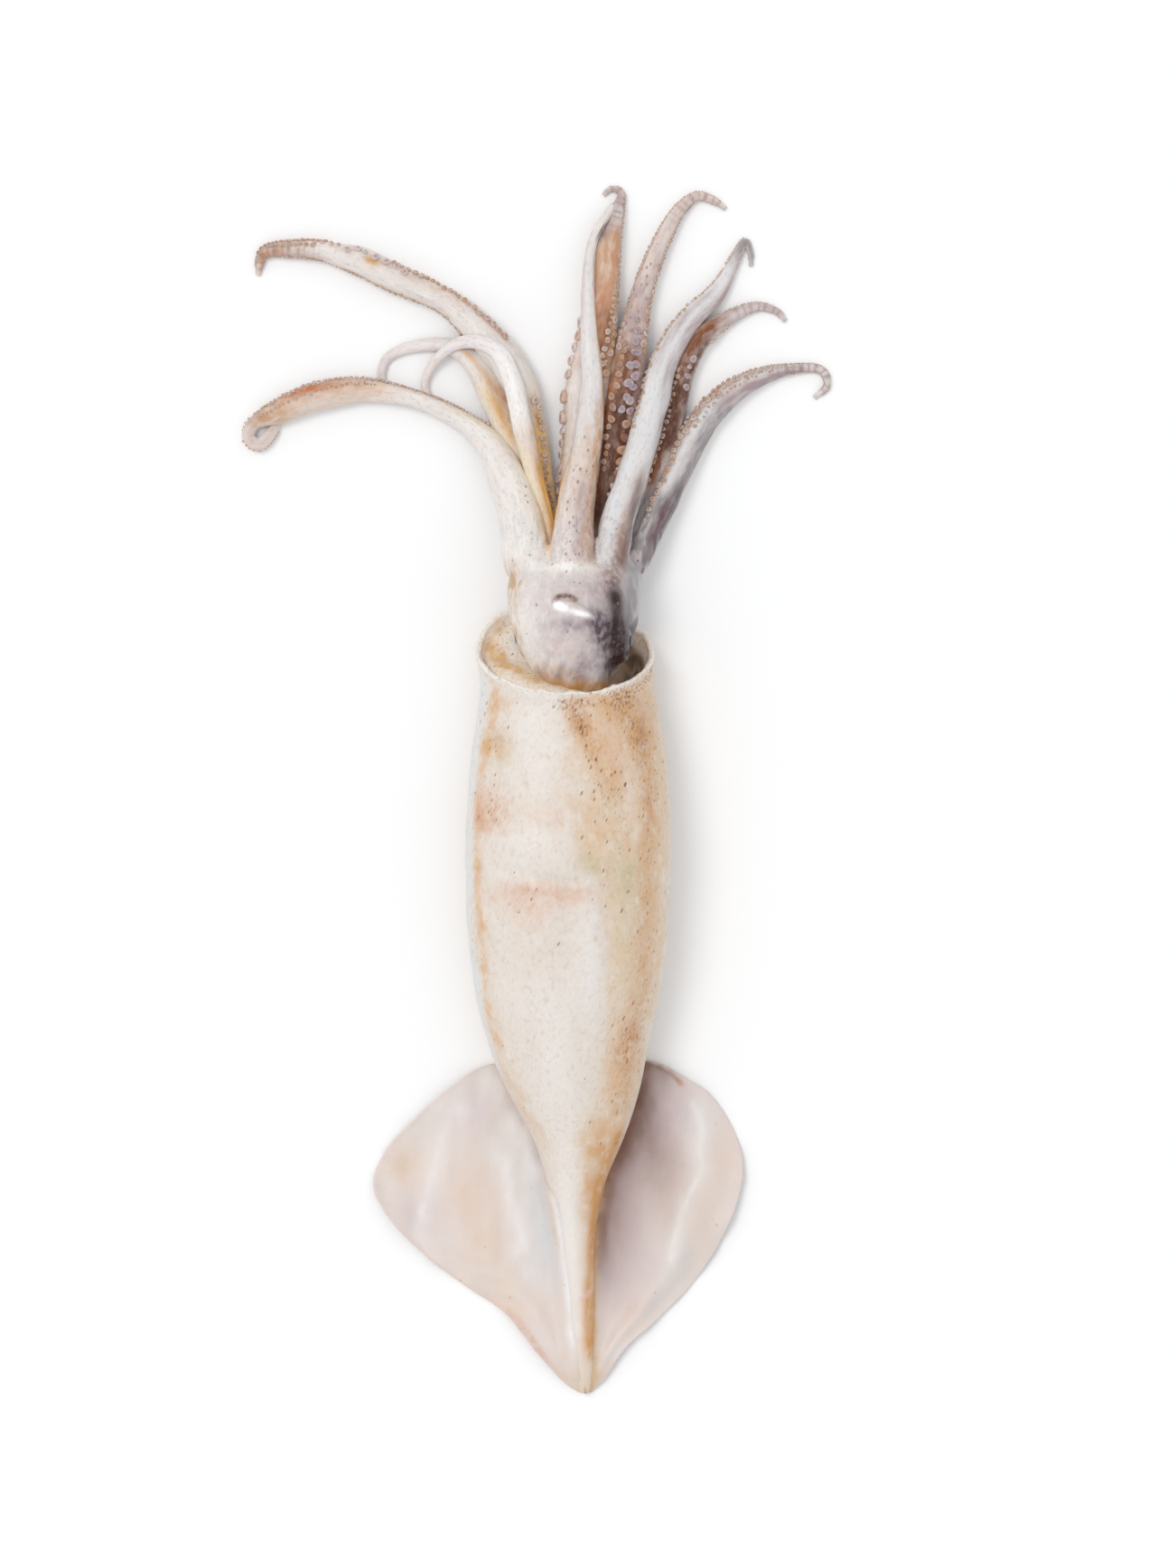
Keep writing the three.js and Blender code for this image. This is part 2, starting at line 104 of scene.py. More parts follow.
# Each arm's route, x, y, width and lift, from the head to the tip. Angles go round an arm: 0 is
# the right side of one that runs to +Y, 90 the top and 180 the left side. Lengths along it are
# shares of its route. `oral` is the angle of the side that carries the suckers, and `suckers`
# lists their rows: the angle at the row's start and end, from, to, the sucker's radius for the
# arm's width, the gap between two in radii, and how warm they are (lilac below 0).
# `paint` lists colours: mask, angle, spread, from, to and amount.
ARM_HEIGHT = 0.8  # an arm's height for its width
ARMS = {
    "long_left": {
        "route": [
            (-2, 26, 5, 5), (-6, 45, 5.8, 1), (-8, 57, 7.2, 0), (-12, 70, 8.4, 0), (-19.5, 80.2, 7.8, 0),
            (-28, 87.3, 6, 0), (-38, 91.7, 6.6, 0), (-46, 95.6, 6.5, 0), (-55, 98.2, 4.5, 0),
            (-62, 98.6, 3.8, 0), (-68, 97.8, 2.7, 0), (-69.4, 92.8, 1.2, 0),
        ],
        "oral": 20,
        "suckers": [
            (62, 50, 0.13, 0.35, 0.1, 2.3, 0.4), (44, 22, 0.46, 0.72, 0.09, 2.3, 0.7),
            (50, 42, 0.68, 0.86, 0.12, 2.8, 0.1), (172, 172, 0.52, 0.84, 0.07, 2.4, 0.6),
            (5, 5, 0.84, 0.985, 0.13, 1.9, 0.7), (170, 170, 0.84, 0.985, 0.13, 1.9, 0.7),
            (66, 62, 0.86, 0.98, 0.12, 2.4, 0.8),
        ],
        "paint": [
            ("amber", 70, 50, 0.04, 0.27, 1), ("gold", 58, 20, 0.24, 0.34, 0.8),
            ("cream", 140, 46, 0.04, 0.32, 0.8), ("cream", 34, 20, 0.14, 0.38, 0.5),
            ("white", 100, 80, 0.3, 0.84, 0.2), ("brown", 42, 16, 0.455, 0.53, 0.5),
            ("rust", 40, 20, 0.46, 0.58, 0.35), ("tan", 56, 30, 0.55, 0.82, 0.35),
            ("tan", 172, 16, 0.52, 0.8, 0.5), ("clear", 60, 40, 0.68, 0.86, 0.6),
            ("gold", 72, 16, 0.732, 0.758, 0.9), ("mauve", 30, 40, 0.89, 1, 0.7),
            ("mauve", 165, 34, 0.84, 1, 0.8), ("tan", 100, 50, 0.88, 0.99, 0.9),
            ("rust", 120, 30, 0.92, 0.98, 0.45), ("bands", 90, 120, 0.86, 1, 0.45),
        ],
    },
    "front_left": {
        "route": [
            (-5, 20, 9.5, 9.5), (-9.2, 29, 10.2, 8.5), (-10.6, 38, 10, 6.5), (-13, 46, 9.2, 4.5),
            (-16.5, 53.6, 7.4, 2.6), (-24, 60.4, 4.6, 1.2), (-34, 65, 4.1, 1.2), (-46, 67.2, 5.5, 0.3),
            (-57, 65.4, 6.5, 0), (-65, 62.2, 5.4, 0), (-70.4, 59.6, 3.2, 0), (-71.5, 56.6, 3, 0),
            (-69.2, 55, 3.2, 0), (-66.6, 57.2, 2.8, 0), (-65, 60, 2, 0),
        ],
        "oral": 5,
        "suckers": [
            (5, 12, 0.36, 0.87, 0.08, 2.2, 0.3), (24, 32, 0.44, 0.87, 0.07, 2.5, 0.5),
            (62, 72, 0.62, 0.87, 0.06, 2.8, 0.8), (-34, -34, 0.3, 0.86, 0.08, 2.6, 0.6),
            (12, 12, 0.88, 0.985, 0.1, 2.4, 0.5),
        ],
        "paint": [
            ("white", 115, 80, 0, 0.6, 0.35), ("cream", 30, 36, 0.14, 0.48, 0.6),
            ("amber", 4, 22, 0.06, 0.4, 0.6), ("tan", 40, 14, 0.4, 0.62, 0.15),
            ("gold", 40, 14, 0.4, 0.62, 0.2), ("peach", 80, 70, 0.58, 0.88, 0.7),
            ("tan", 60, 50, 0.62, 0.88, 0.5), ("rust", 46, 24, 0.68, 0.81, 0.8),
            ("peach", 150, 40, 0.62, 0.88, 0.5), ("tan", 100, 60, 0.79, 0.885, 0.8),
            ("brown", 60, 26, 0.85, 0.89, 0.4), ("peach", 90, 120, 0.885, 1, 0.3),
            ("mauve", 90, 120, 0.885, 1, 0.2), ("dots", 72, 16, 0.09, 0.24, 0.9),
        ],
    },
    "tentacle_behind": {
        "route": [
            (-5, 26, 5, 5), (-8, 41, 6, 3), (-12, 55, 7.2, 1.6), (-17, 66, 6.6, 1), (-21.6, 73.6, 5, 0.6),
            (-27, 77, 3.6, 0), (-35, 76.8, 2.7, 0), (-40.6, 74.2, 2.1, 0), (-41.8, 71, 1.9, 0),
            (-41.4, 68.6, 1.6, 0),
        ],
        "oral": 60,
        "suckers": [(-60, -60, 0.62, 0.97, 0.13, 2.7, 0.3), (-90, -90, 0.62, 0.97, 0.13, 2.7, 0.3)],
        "paint": [
            ("white", 90, 120, 0, 0.4, 0.5), ("amber", 40, 50, 0.1, 0.34, 0.9),
            ("cream", 100, 60, 0.2, 0.6, 0.7), ("gold", 95, 26, 0.38, 0.56, 0.7),
            ("gold", 82, 18, 0.54, 0.71, 0.6), ("tan", 70, 24, 0.44, 0.6, 0.55),
            ("rust", 50, 16, 0.49, 0.56, 0.6), ("clear", 90, 120, 0.66, 1, 0.6),
            ("mauve", 90, 120, 0.9, 1, 0.2),
        ],
    },
    "tentacle_front": {
        "route": [
            (-2, 24, 5, 8.5), (-7.6, 47, 4, 7.4), (-10.4, 59, 4.6, 6.8), (-12.6, 69, 4.4, 6.2),
            (-16, 75.6, 4, 5), (-21, 77.8, 3.4, 4), (-26, 76.8, 2.6, 2.8), (-30.4, 72.8, 2, 1.2),
            (-32.2, 68.4, 1.7, 0.6), (-31.2, 64.8, 1.4, 0.8),
        ],
        "oral": -90,
        "suckers": [(-70, -70, 0.7, 0.97, 0.13, 2.7, 0.3), (-110, -110, 0.7, 0.97, 0.13, 2.7, 0.3)],
        "paint": [
            ("gold", 38, 42, 0.08, 0.36, 0.9), ("amber", 30, 40, 0.14, 0.3, 0.8),
            ("brown", 50, 12, 0.18, 0.34, 0.3), ("cream", 140, 50, 0.04, 0.42, 1),
            ("peach", 40, 50, 0.32, 0.46, 0.7), ("white", 90, 120, 0.44, 0.7, 0.9),
            ("clear", 90, 120, 0.66, 1, 0.7), ("peach", 90, 120, 0.86, 1, 0.25),
        ],
    },
    "middle_behind": {
        "route": [
            (0, 26, 5, 4), (0.4, 42, 6, 1.2), (2.4, 55, 8, 0), (4, 67, 9.6, 0), (6.6, 81, 8, 0),
            (8, 91, 6.2, 0), (9, 101, 5.4, 0), (10.8, 107.2, 3.2, 0), (11.6, 111, 1.7, 0),
            (9.6, 112.2, 1.4, 0), (7.6, 110.6, 1.1, 0),
        ],
        "oral": 90,
        "suckers": [
            (172, 168, 0.2, 0.62, 0.16, 2.5, 0.2), (40, 22, 0.5, 0.72, 0.1, 2.4, 0.7),
            (60, 42, 0.52, 0.72, 0.08, 2.6, 0.6), (20, 20, 0.7, 0.98, 0.09, 2.4, 0.7),
            (165, 165, 0.84, 0.98, 0.1, 2.4, 0.6),
        ],
        "paint": [
            ("amber", 170, 22, 0.06, 0.26, 0.9), ("tan", 165, 24, 0.2, 0.4, 0.6),
            ("peach", 165, 30, 0.26, 0.6, 0.5), ("white", 105, 50, 0.4, 0.66, 0.6),
            ("tan", 50, 40, 0.5, 0.86, 0.9), ("tan", 95, 40, 0.6, 0.86, 0.8),
            ("gold", 60, 40, 0.56, 0.72, 0.5), ("brown", 66, 44, 0.4, 0.65, 0.75),
            ("rust", 95, 44, 0.5, 0.72, 0.6), ("rust", 60, 26, 0.62, 0.84, 0.35),
            ("peach", 60, 50, 0.7, 0.86, 0.5), ("white", 150, 30, 0.6, 0.7, 0.7),
            ("gold", 130, 16, 0.72, 0.81, 0.8), ("purple", 126, 16, 0.82, 0.87, 0.9),
            ("mauve", 90, 120, 0.84, 1, 0.6), ("bands", 90, 120, 0.86, 1, 0.5),
        ],
    },
    "middle_front": {
        "route": [
            (0.4, 19, 9, 11.5), (0.6, 29, 9.6, 11), (1.2, 38, 8.8, 9), (2.4, 46, 7.8, 7.2),
            (4.4, 57, 6.4, 5.6), (5.1, 69, 5.3, 4.7), (4.4, 80, 3.8, 4.4), (4.2, 91, 2.9, 4),
            (5.2, 100, 2.2, 3.2), (8, 105.4, 2, 2.2), (9.8, 108.4, 1.3, 1.2),
        ],
        "oral": -90,
        "suckers": [(-62, -62, 0.25, 0.97, 0.12, 2.7, 0.4), (-118, -118, 0.25, 0.97, 0.12, 2.7, 0.4)],
        "paint": [
            ("mauve", 90, 120, 0, 0.2, 0.12), ("cool", 100, 80, 0.4, 0.9, 0.6),
            ("white", 90, 120, 0.03, 0.085, 0.6), ("tan", 46, 28, 0.06, 0.5, 0.8),
            ("brown", 22, 16, 0.08, 0.36, 0.45), ("gold", 26, 18, 0.46, 0.86, 0.4),
            ("brown", 4, 16, 0.12, 0.7, 0.9), ("amber", 178, 16, 0.12, 0.38, 0.9),
            ("tan", 150, 24, 0.2, 0.4, 0.35), ("mauve", 75, 20, 0.1, 0.3, 0.6),
            ("tan", 90, 40, 0.2, 0.45, 0.35), ("purple", 46, 16, 0.9, 0.95, 0.8),
            ("mauve", 140, 24, 0.7, 0.9, 0.25), ("dots", 95, 30, 0.07, 0.4, 0.8),
        ],
    },
    "centre_right": {
        "route": [
            (3, 24, 5, 6), (7.4, 40, 5.6, 3.6), (10.2, 55, 7.8, 1), (12.2, 67, 8.5, 0), (14, 77, 7.2, 0),
            (15.8, 87, 5.3, 0), (19.6, 98, 4.4, 0), (24.4, 107, 3.2, 0), (28.4, 110.4, 2.3, 0),
            (32.2, 109.4, 1.8, 0), (34.8, 107.6, 1.2, 0),
        ],
        "oral": 95,
        "suckers": [
            (58, 62, 0.2, 0.4, 0.15, 2.4, 1), (62, 66, 0.4, 0.54, 0.14, 2.6, -1),
            (84, 80, 0.4, 0.62, 0.12, 3, -0.9), (120, 112, 0.26, 0.56, 0.1, 2.6, 0.9),
            (36, 20, 0.54, 0.98, 0.11, 2.3, 0.45), (142, 160, 0.54, 0.98, 0.1, 2.3, 0.45),
        ],
        "paint": [
            ("tan", 90, 120, 0, 0.12, 0.45), ("dark", 92, 34, 0.13, 0.43, 1),
            # rust and brown on the left flank, from 0.12 to 0.5, are partly painted shade in the gap to
            # middle_front
            ("brown", 90, 60, 0.14, 0.54, 1), ("rust", 132, 30, 0.12, 0.46, 0.9),
            ("brown", 140, 30, 0.14, 0.5, 0.6), ("brown", 42, 22, 0.36, 0.5, 0.7),
            ("tan", 130, 30, 0.12, 0.6, 0.8), ("mauve", 60, 40, 0.42, 0.6, 0.7),
            ("tan", 95, 80, 0.5, 0.64, 0.5), ("peach", 90, 120, 0.6, 1, 0.35),
            ("mauve", 70, 60, 0.6, 1, 0.35), ("brown", 20, 18, 0.58, 0.95, 0.55),
            ("tan", 160, 18, 0.6, 0.9, 0.3), ("rust", 122, 20, 0.3, 0.52, 0.5),
            ("mauve", 95, 80, 0.54, 0.72, 0.6), ("dots", 90, 80, 0.5, 0.78, 1),
            ("bands", 90, 120, 0.86, 1, 0.4),
        ],
    },
    "front_right": {
        "route": [
            (6.5, 20, 7, 10.5), (9.2, 29, 7.4, 10), (10.8, 38, 7.5, 8.2), (14.4, 49, 7.2, 5.4),
            (18.4, 63, 6.8, 3), (21.4, 74, 6.2, 1.6), (27, 83, 5.5, 0.5), (33.2, 89.4, 4.1, 0),
            (37.2, 97, 2.4, 0), (39.2, 100.4, 1.6, 0), (40.4, 98, 1.3, 0), (40.6, 94.8, 1, 0),
        ],
        "oral": 190,
        "suckers": [
            (150, 158, 0.42, 0.86, 0.085, 2.4, 0.6), (212, 212, 0.25, 0.86, 0.11, 2.6, 0.4),
            (15, 15, 0.87, 0.985, 0.12, 2.3, 0.4), (165, 165, 0.87, 0.985, 0.12, 2.3, 0.4),
        ],
        "paint": [
            ("cool", 100, 110, 0, 0.88, 0.9), ("grey", 42, 30, 0.04, 0.32, 0.9),
            ("slate", 34, 22, 0.05, 0.28, 0.5), ("tan", 60, 20, 0.04, 0.32, 0.7),
            ("brown", 46, 14, 0.05, 0.3, 0.45), ("grey", 30, 24, 0.28, 0.6, 0.45),
            ("brown", 2, 16, 0.25, 0.85, 0.8), ("mauve", 34, 24, 0.56, 0.86, 0.65),
            ("mauve", 66, 16, 0.5, 0.8, 0.5), ("mauve", 116, 18, 0.56, 0.8, 0.5),
            ("grey", 90, 120, 0.88, 1, 0.8), ("tan", 174, 16, 0.05, 0.5, 0.5),
            ("white", 140, 30, 0.7, 0.86, 0.6),
        ],
    },
    "right_behind": {
        "route": [
            (8, 25, 5, 5.5), (16.4, 41, 6.4, 1.6), (20.8, 52, 7, 0), (23.2, 61, 5.2, 0),
            (25.4, 71, 5.2, 0), (29.4, 78.8, 5, 0), (35.4, 83.2, 3.3, 0), (42, 85.8, 2.1, 0),
            (46.4, 84.6, 1.5, 0), (48.2, 82.6, 1.1, 0),
        ],
        "oral": 90,
        "suckers": [
            (62, 66, 0.58, 0.7, 0.14, 3.2, -0.5), (118, 118, 0.3, 0.62, 0.1, 2.6, 0.6),
            (15, 15, 0.74, 0.985, 0.12, 2.3, 0.4), (165, 165, 0.8, 0.985, 0.12, 2.3, 0.4),
        ],
        "paint": [
            ("grey", 66, 80, 0, 0.36, 1), ("cool", 150, 30, 0.04, 0.4, 0.7),
            ("slate", 80, 30, 0.1, 0.32, 0.5), ("brown", 100, 26, 0.28, 0.46, 1),
            ("dark", 95, 50, 0.38, 0.6, 0.9), ("dark", 50, 30, 0.5, 0.74, 0.8),
            ("brown", 100, 60, 0.4, 0.8, 0.9), ("mauve", 150, 24, 0.42, 0.8, 0.4),
            ("mauve", 72, 18, 0.6, 0.8, 0.6), ("grey", 24, 20, 0.4, 0.55, 0.6),
            ("rust", 112, 16, 0.64, 0.8, 0.6), ("mauve", 90, 120, 0.78, 1, 0.5),
            ("cool", 50, 40, 0.8, 1, 0.4), ("bands", 90, 120, 0.84, 1, 0.4),
        ],
    },
    "right_edge": {
        "route": [
            (12, 22, 5.4, 6.5), (15.6, 30, 5.6, 5), (19, 38, 6.2, 2.8), (23, 47, 6.8, 1),
            (28.4, 58, 6.8, 0), (34.6, 65.4, 6, 0), (42.4, 70, 4.4, 0), (50.4, 72, 2.4, 0),
            (56.2, 71.6, 1.9, 0), (57.6, 68.4, 1.7, 0), (54.6, 65.4, 1.1, 0),
        ],
        "oral": 150,
        "suckers": [
            (128, 132, 0.22, 0.8, 0.1, 2.2, 0.5), (160, 160, 0.28, 0.98, 0.085, 2.3, 0.5),
            (20, 20, 0.8, 0.98, 0.12, 2.2, 0.4), (100, 110, 0.5, 0.85, 0.07, 2.8, 0.5),
        ],
        "paint": [
            ("grey", 80, 90, 0, 0.3, 0.9), ("slate", 44, 34, 0.02, 0.34, 0.8),
            ("cool", 105, 34, 0.24, 0.62, 0.85), ("purple", 72, 20, 0.15, 0.28, 0.9),
            ("grey", 46, 36, 0.3, 0.6, 1), ("slate", 6, 18, 0.2, 0.6, 0.7),
            ("brown", 172, 18, 0.14, 0.5, 0.9), ("grey", 140, 22, 0.2, 0.56, 0.6),
            ("tan", 130, 18, 0.3, 0.66, 0.5), ("mauve", 50, 50, 0.58, 0.88, 0.9),
            ("grey", 26, 30, 0.58, 0.86, 0.8), ("cool", 120, 60, 0.56, 1, 0.5),
            ("mauve", 100, 100, 0.6, 1, 0.3), ("bands", 90, 120, 0.78, 1, 0.5),
        ],
    },
}

# ---------------------------------------------------------------- curves and fields


def smooth(x, low, high):
    """0 at low, 1 at high, and a soft step between them."""
    t = np.clip((x - low) / (high - low), 0, 1)
    return t * t * (3 - 2 * t)


def between(x, low, high, until, gone):
    """0 up to low, 1 from high until `until`, and 0 again from `gone`, with soft steps."""
    return smooth(x, low, high) * smooth(x, gone, until)


def bell(x, middle, wide):
    """1 in the middle and soft to both sides, with about a third of it a width away."""
    return np.exp(-(((x - middle) / wide) ** 2))


def power(value, exponent):
    """A power that keeps the sign."""
    return np.sign(value) * np.abs(value) ** exponent


def curves_of(table):
    """Smooth functions of a table's first column that never overshoot its values."""
    rows = np.array(sorted(table), float)
    span = np.diff(rows[:, 0])[:, None]
    steps = np.diff(rows, axis=0) / span
    before, after = steps[:-1], steps[1:]
    total = np.where(before * after > 0, before + after, 1)
    inner = np.where(before * after > 0, 2 * before * after / total, 0)
    slopes = np.vstack([steps[:1], inner, steps[-1:]])

    def at(x):
        x = np.asarray(x, float)
        i = np.clip(np.searchsorted(rows[:, 0], x) - 1, 0, len(rows) - 2)
        t = np.clip((x - rows[i, 0]) / span[i, 0], 0, 1)
        found = []
        for k in range(1, rows.shape[1]):
            a, b = rows[i, k], rows[i + 1, k]
            leave, arrive = slopes[i, k] * span[i, 0], slopes[i + 1, k] * span[i, 0]
            s = 1 - t
            ends = s * s * (1 + 2 * t) * a + t * t * (3 - 2 * t) * b
            found.append(ends + s * s * t * leave - t * t * s * arrive)
        return found

    return at


def curve_through(points):
    """A centripetal Catmull-Rom curve, and its direction, for t from 0 to 1."""
    p = np.array(points, float)
    p = np.vstack([2 * p[0] - p[1], p, 2 * p[-1] - p[-2]])
    gap = np.sqrt(np.linalg.norm(np.diff(p, axis=0), axis=1))[:, None]

    def at(t):
        s = np.clip(np.asarray(t, float), 0, 1) * (len(points) - 1)
        i = np.minimum(s.astype(int), len(points) - 2)
        w = (s - i)[..., None]
        a, b, c, d = p[i], p[i + 1], p[i + 2], p[i + 3]
        g, h, k = gap[i], gap[i + 1], gap[i + 2]
        leave = ((b - a) / g - (c - a) / (g + h) + (c - b) / h) * h
        arrive = ((c - b) / h - (d - b) / (h + k) + (d - c) / k) * h
        square = -3 * b + 3 * c - 2 * leave - arrive
        cube = 2 * b - 2 * c + leave + arrive
        place = b + leave * w + square * w**2 + cube * w**3
        return place, leave + 2 * square * w + 3 * cube * w**2

    return at


def ripple(points, size, seed, waves=9):
    """An uneven field, mostly from -1 to 1, whose swells are about that size."""
    rng = np.random.default_rng(seed)
    turn = rng.normal(size=(waves, 3))
    turn /= np.linalg.norm(turn, axis=1)[:, None]
    rate = 2 * np.pi / (size * rng.uniform(0.7, 1.5, waves))
    phase = rng.uniform(0, 2 * np.pi, waves)
    return np.sin(points @ (turn * rate[:, None]).T + phase).sum(-1) / math.sqrt(waves)


def swayed(points, by):
    """The points, moved along X by a field."""
    return points + by[..., None] * [1, 0, 0]


def spot(points, x, y, rx, ry, turn=0):
    """1 in the middle of a soft ellipse seen from above, turned by an angle in degrees."""
    c, s = math.cos(math.radians(turn)), math.sin(math.radians(turn))
    dx, dy = points[..., 0] - x, points[..., 1] - y
    return np.exp(-(((dx * c + dy * s) / rx) ** 2) - ((dy * c - dx * s) / ry) ** 2)


def spots(points, rows):
    """A sum of soft spots. A row is the strength and what spot takes."""
    return sum(amount * spot(points, *where) for amount, *where in rows)


def along(points, line, wide):
    """1 on a line of points seen from above, and soft to its sides."""
    best = np.full(points.shape[:-1], np.inf)
    for a, b in zip(line[:-1], line[1:]):
        a, b = np.array(a, float), np.array(b, float)
        way = b - a
        t = np.clip(((points[..., :2] - a) @ way) / (way @ way), 0, 1)
        best = np.minimum(best, np.linalg.norm(points[..., :2] - a - t[..., None] * way, axis=-1))
    return bell(best, 0, wide)


def lines(points, *rows):
    """A sum of soft lines. A row is the strength, the line's points and its width."""
    return sum(amount * along(points, line, wide) for amount, line, wide in rows)


# ---------------------------------------------------------------- meshes

DETAIL = 1.0  # the share of the rows and columns that are built
CLEAR_MM = 0.05  # how far every piece stays inside the sides of the part's own box
BOX_LOW, BOX_HIGH = (np.array(corner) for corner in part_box("squid"))
TAIL_END = [v.co.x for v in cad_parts["squid"].data.vertices if v.co.y < BOX_LOW[1] + 0.1 * MM]
# The drawing's place in the frame, in millimetres: the tail's end is where it is in the part.
SHIFT = np.array([TAIL_X - (min(TAIL_END) + max(TAIL_END)) / 2 / MM, TAIL_Y - BOX_LOW[1] / MM, 0])


def steps(count):
    """A number of rows or columns for the detail that is asked for."""
    return max(3, round(count * DETAIL))


def circle(sides):
    """A row of angles once round."""
    return np.linspace(0, 2 * np.pi, sides, endpoint=False)[None, :]


def unit(vectors):
    """The vectors with a length of 1."""
    return vectors / np.linalg.norm(vectors, axis=-1, keepdims=True)


def above_floor(points):
    """Lifts what is below the surface onto it."""
    points[..., 2] = np.maximum(points[..., 2], 0)
    return points


def grid_faces(rows, columns, closed=True):
    r = np.arange(rows - 1)[:, None] * columns
    c = np.arange(columns if closed else columns - 1)[None, :]
    a, b = r + c, r + (c + 1) % columns
    return np.stack([a, a + columns, b + columns, b], -1).reshape(-1, 4)


def tube(rings):
    """The points and faces of a closed skin over rings, with a point in each end."""
    rows, sides = rings.shape[:2]
    points = np.vstack([rings.reshape(-1, 3), rings[0].mean(0), rings[-1].mean(0)])
    s = np.arange(sides)
    after = (s + 1) % sides
    first, last = np.full(sides, len(points) - 2), np.full(sides, len(points) - 1)
    end = (rows - 1) * sides
    caps = np.vstack([np.stack([first, s, after], 1), np.stack([last, end + after, end + s], 1)])
    return points, grid_faces(rows, sides).tolist() + caps.tolist()


def with_ends(masks):
    """The masks of a tube's rings, with 0 for the point in each of its ends."""
    return {name: np.append(values.ravel(), [0, 0]) for name, values in masks.items()}


def to_mesh(name, points, faces):
    """A mesh in the frame, in metres, kept within the sides of the part's own box."""
    inside = np.clip((points - SHIFT) * MM, BOX_LOW + CLEAR_MM * MM, BOX_HIGH - CLEAR_MM * MM)
    inside[:, 2] = (points[:, 2] - SHIFT[2]) * MM
    mesh = bpy.data.meshes.new(name)
    mesh.from_pydata(inside.tolist(), [], faces)
    mesh.update()
    return mesh


def points_of(mesh):
    flat = np.empty(len(mesh.vertices) * 3)
    mesh.vertices.foreach_get("co", flat)
    return flat.reshape(-1, 3) / MM + SHIFT


def normals_of(mesh):
    flat = np.empty(len(mesh.vertices) * 3, np.float32)
    mesh.vertex_normals.foreach_get("vector", flat)
    return flat.reshape(-1, 3).astype(float)


def move_points(mesh, points):
    mesh.vertices.foreach_set("co", ((points - SHIFT) * MM).ravel())
    mesh.update()


def show(name, data):
    """An object in the scene with the data."""
    made = bpy.data.objects.new(name, data)
    bpy.context.scene.collection.objects.link(made)
    return made


def add_piece(name, mesh, skin, masks, place=None):
    """A piece of the squid: its masks and its skin's own place become attributes."""
    for mask, values in masks.items():
        layer = mesh.attributes.new(mask, "FLOAT", "POINT")
        layer.data.foreach_set("value", np.clip(values, 0, 1).astype(np.float32))
    layer = mesh.attributes.new("place", "FLOAT_VECTOR", "POINT")
    at = points_of(mesh) if place is None else place
    layer.data.foreach_set("vector", at.astype(np.float32).ravel())
    mesh.shade_smooth()
    mesh.materials.append(skin.material)
    piece = show(name, mesh)
    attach(piece, "root")
    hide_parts("squid")
    return piece


def fuse(name, shells, voxel, rounds):
    """One skin over several closed shells, with the creases between them softened."""
    points, faces = [], []
    for shell_points, shell_faces in shells:
        start = sum(len(p) for p in points)
        points.append(shell_points)
        faces += [[start + i for i in face] for face in shell_faces]
    rough = show(name, to_mesh(name, np.vstack(points), faces))
    remesh = rough.modifiers.new("remesh", "REMESH")
    remesh.mode = "VOXEL"
    remesh.voxel_size = voxel * MM
    soften = rough.modifiers.new("soften", "SMOOTH")
    soften.factor = 0.5
    soften.iterations = rounds
    evaluated = rough.evaluated_get(bpy.context.evaluated_depsgraph_get())
    mesh = bpy.data.meshes.new_from_object(evaluated)
    bpy.data.objects.remove(rough)
    return mesh


# ---------------------------------------------------------------- skins

FLESH_REACH = (1.0, 0.62, 0.45)  # how far red, green and blue light goes in the flesh
FLESH_DEPTH = 2.2  # that distance for red
SHINE = 0.35
COAT_ROUGHNESS = 0.3
GLOSS_SPREAD = 0.16  # how much the roughness varies over a skin
RELIEF_HEIGHT = 0.3
MIX_SOCKETS = (0, 6, 7)  # a mix node's sockets for the share of the second colour and for both
MIX_RESULT = 2


def rgb(code):
    """Linear red, green, blue and alpha of a hex colour."""
    parts = [int(code[i : i + 2], 16) / 255 for i in (0, 2, 4)]
    return [p / 12.92 if p <= 0.04045 else ((p + 0.055) / 1.055) ** 2.4 for p in parts] + [1]


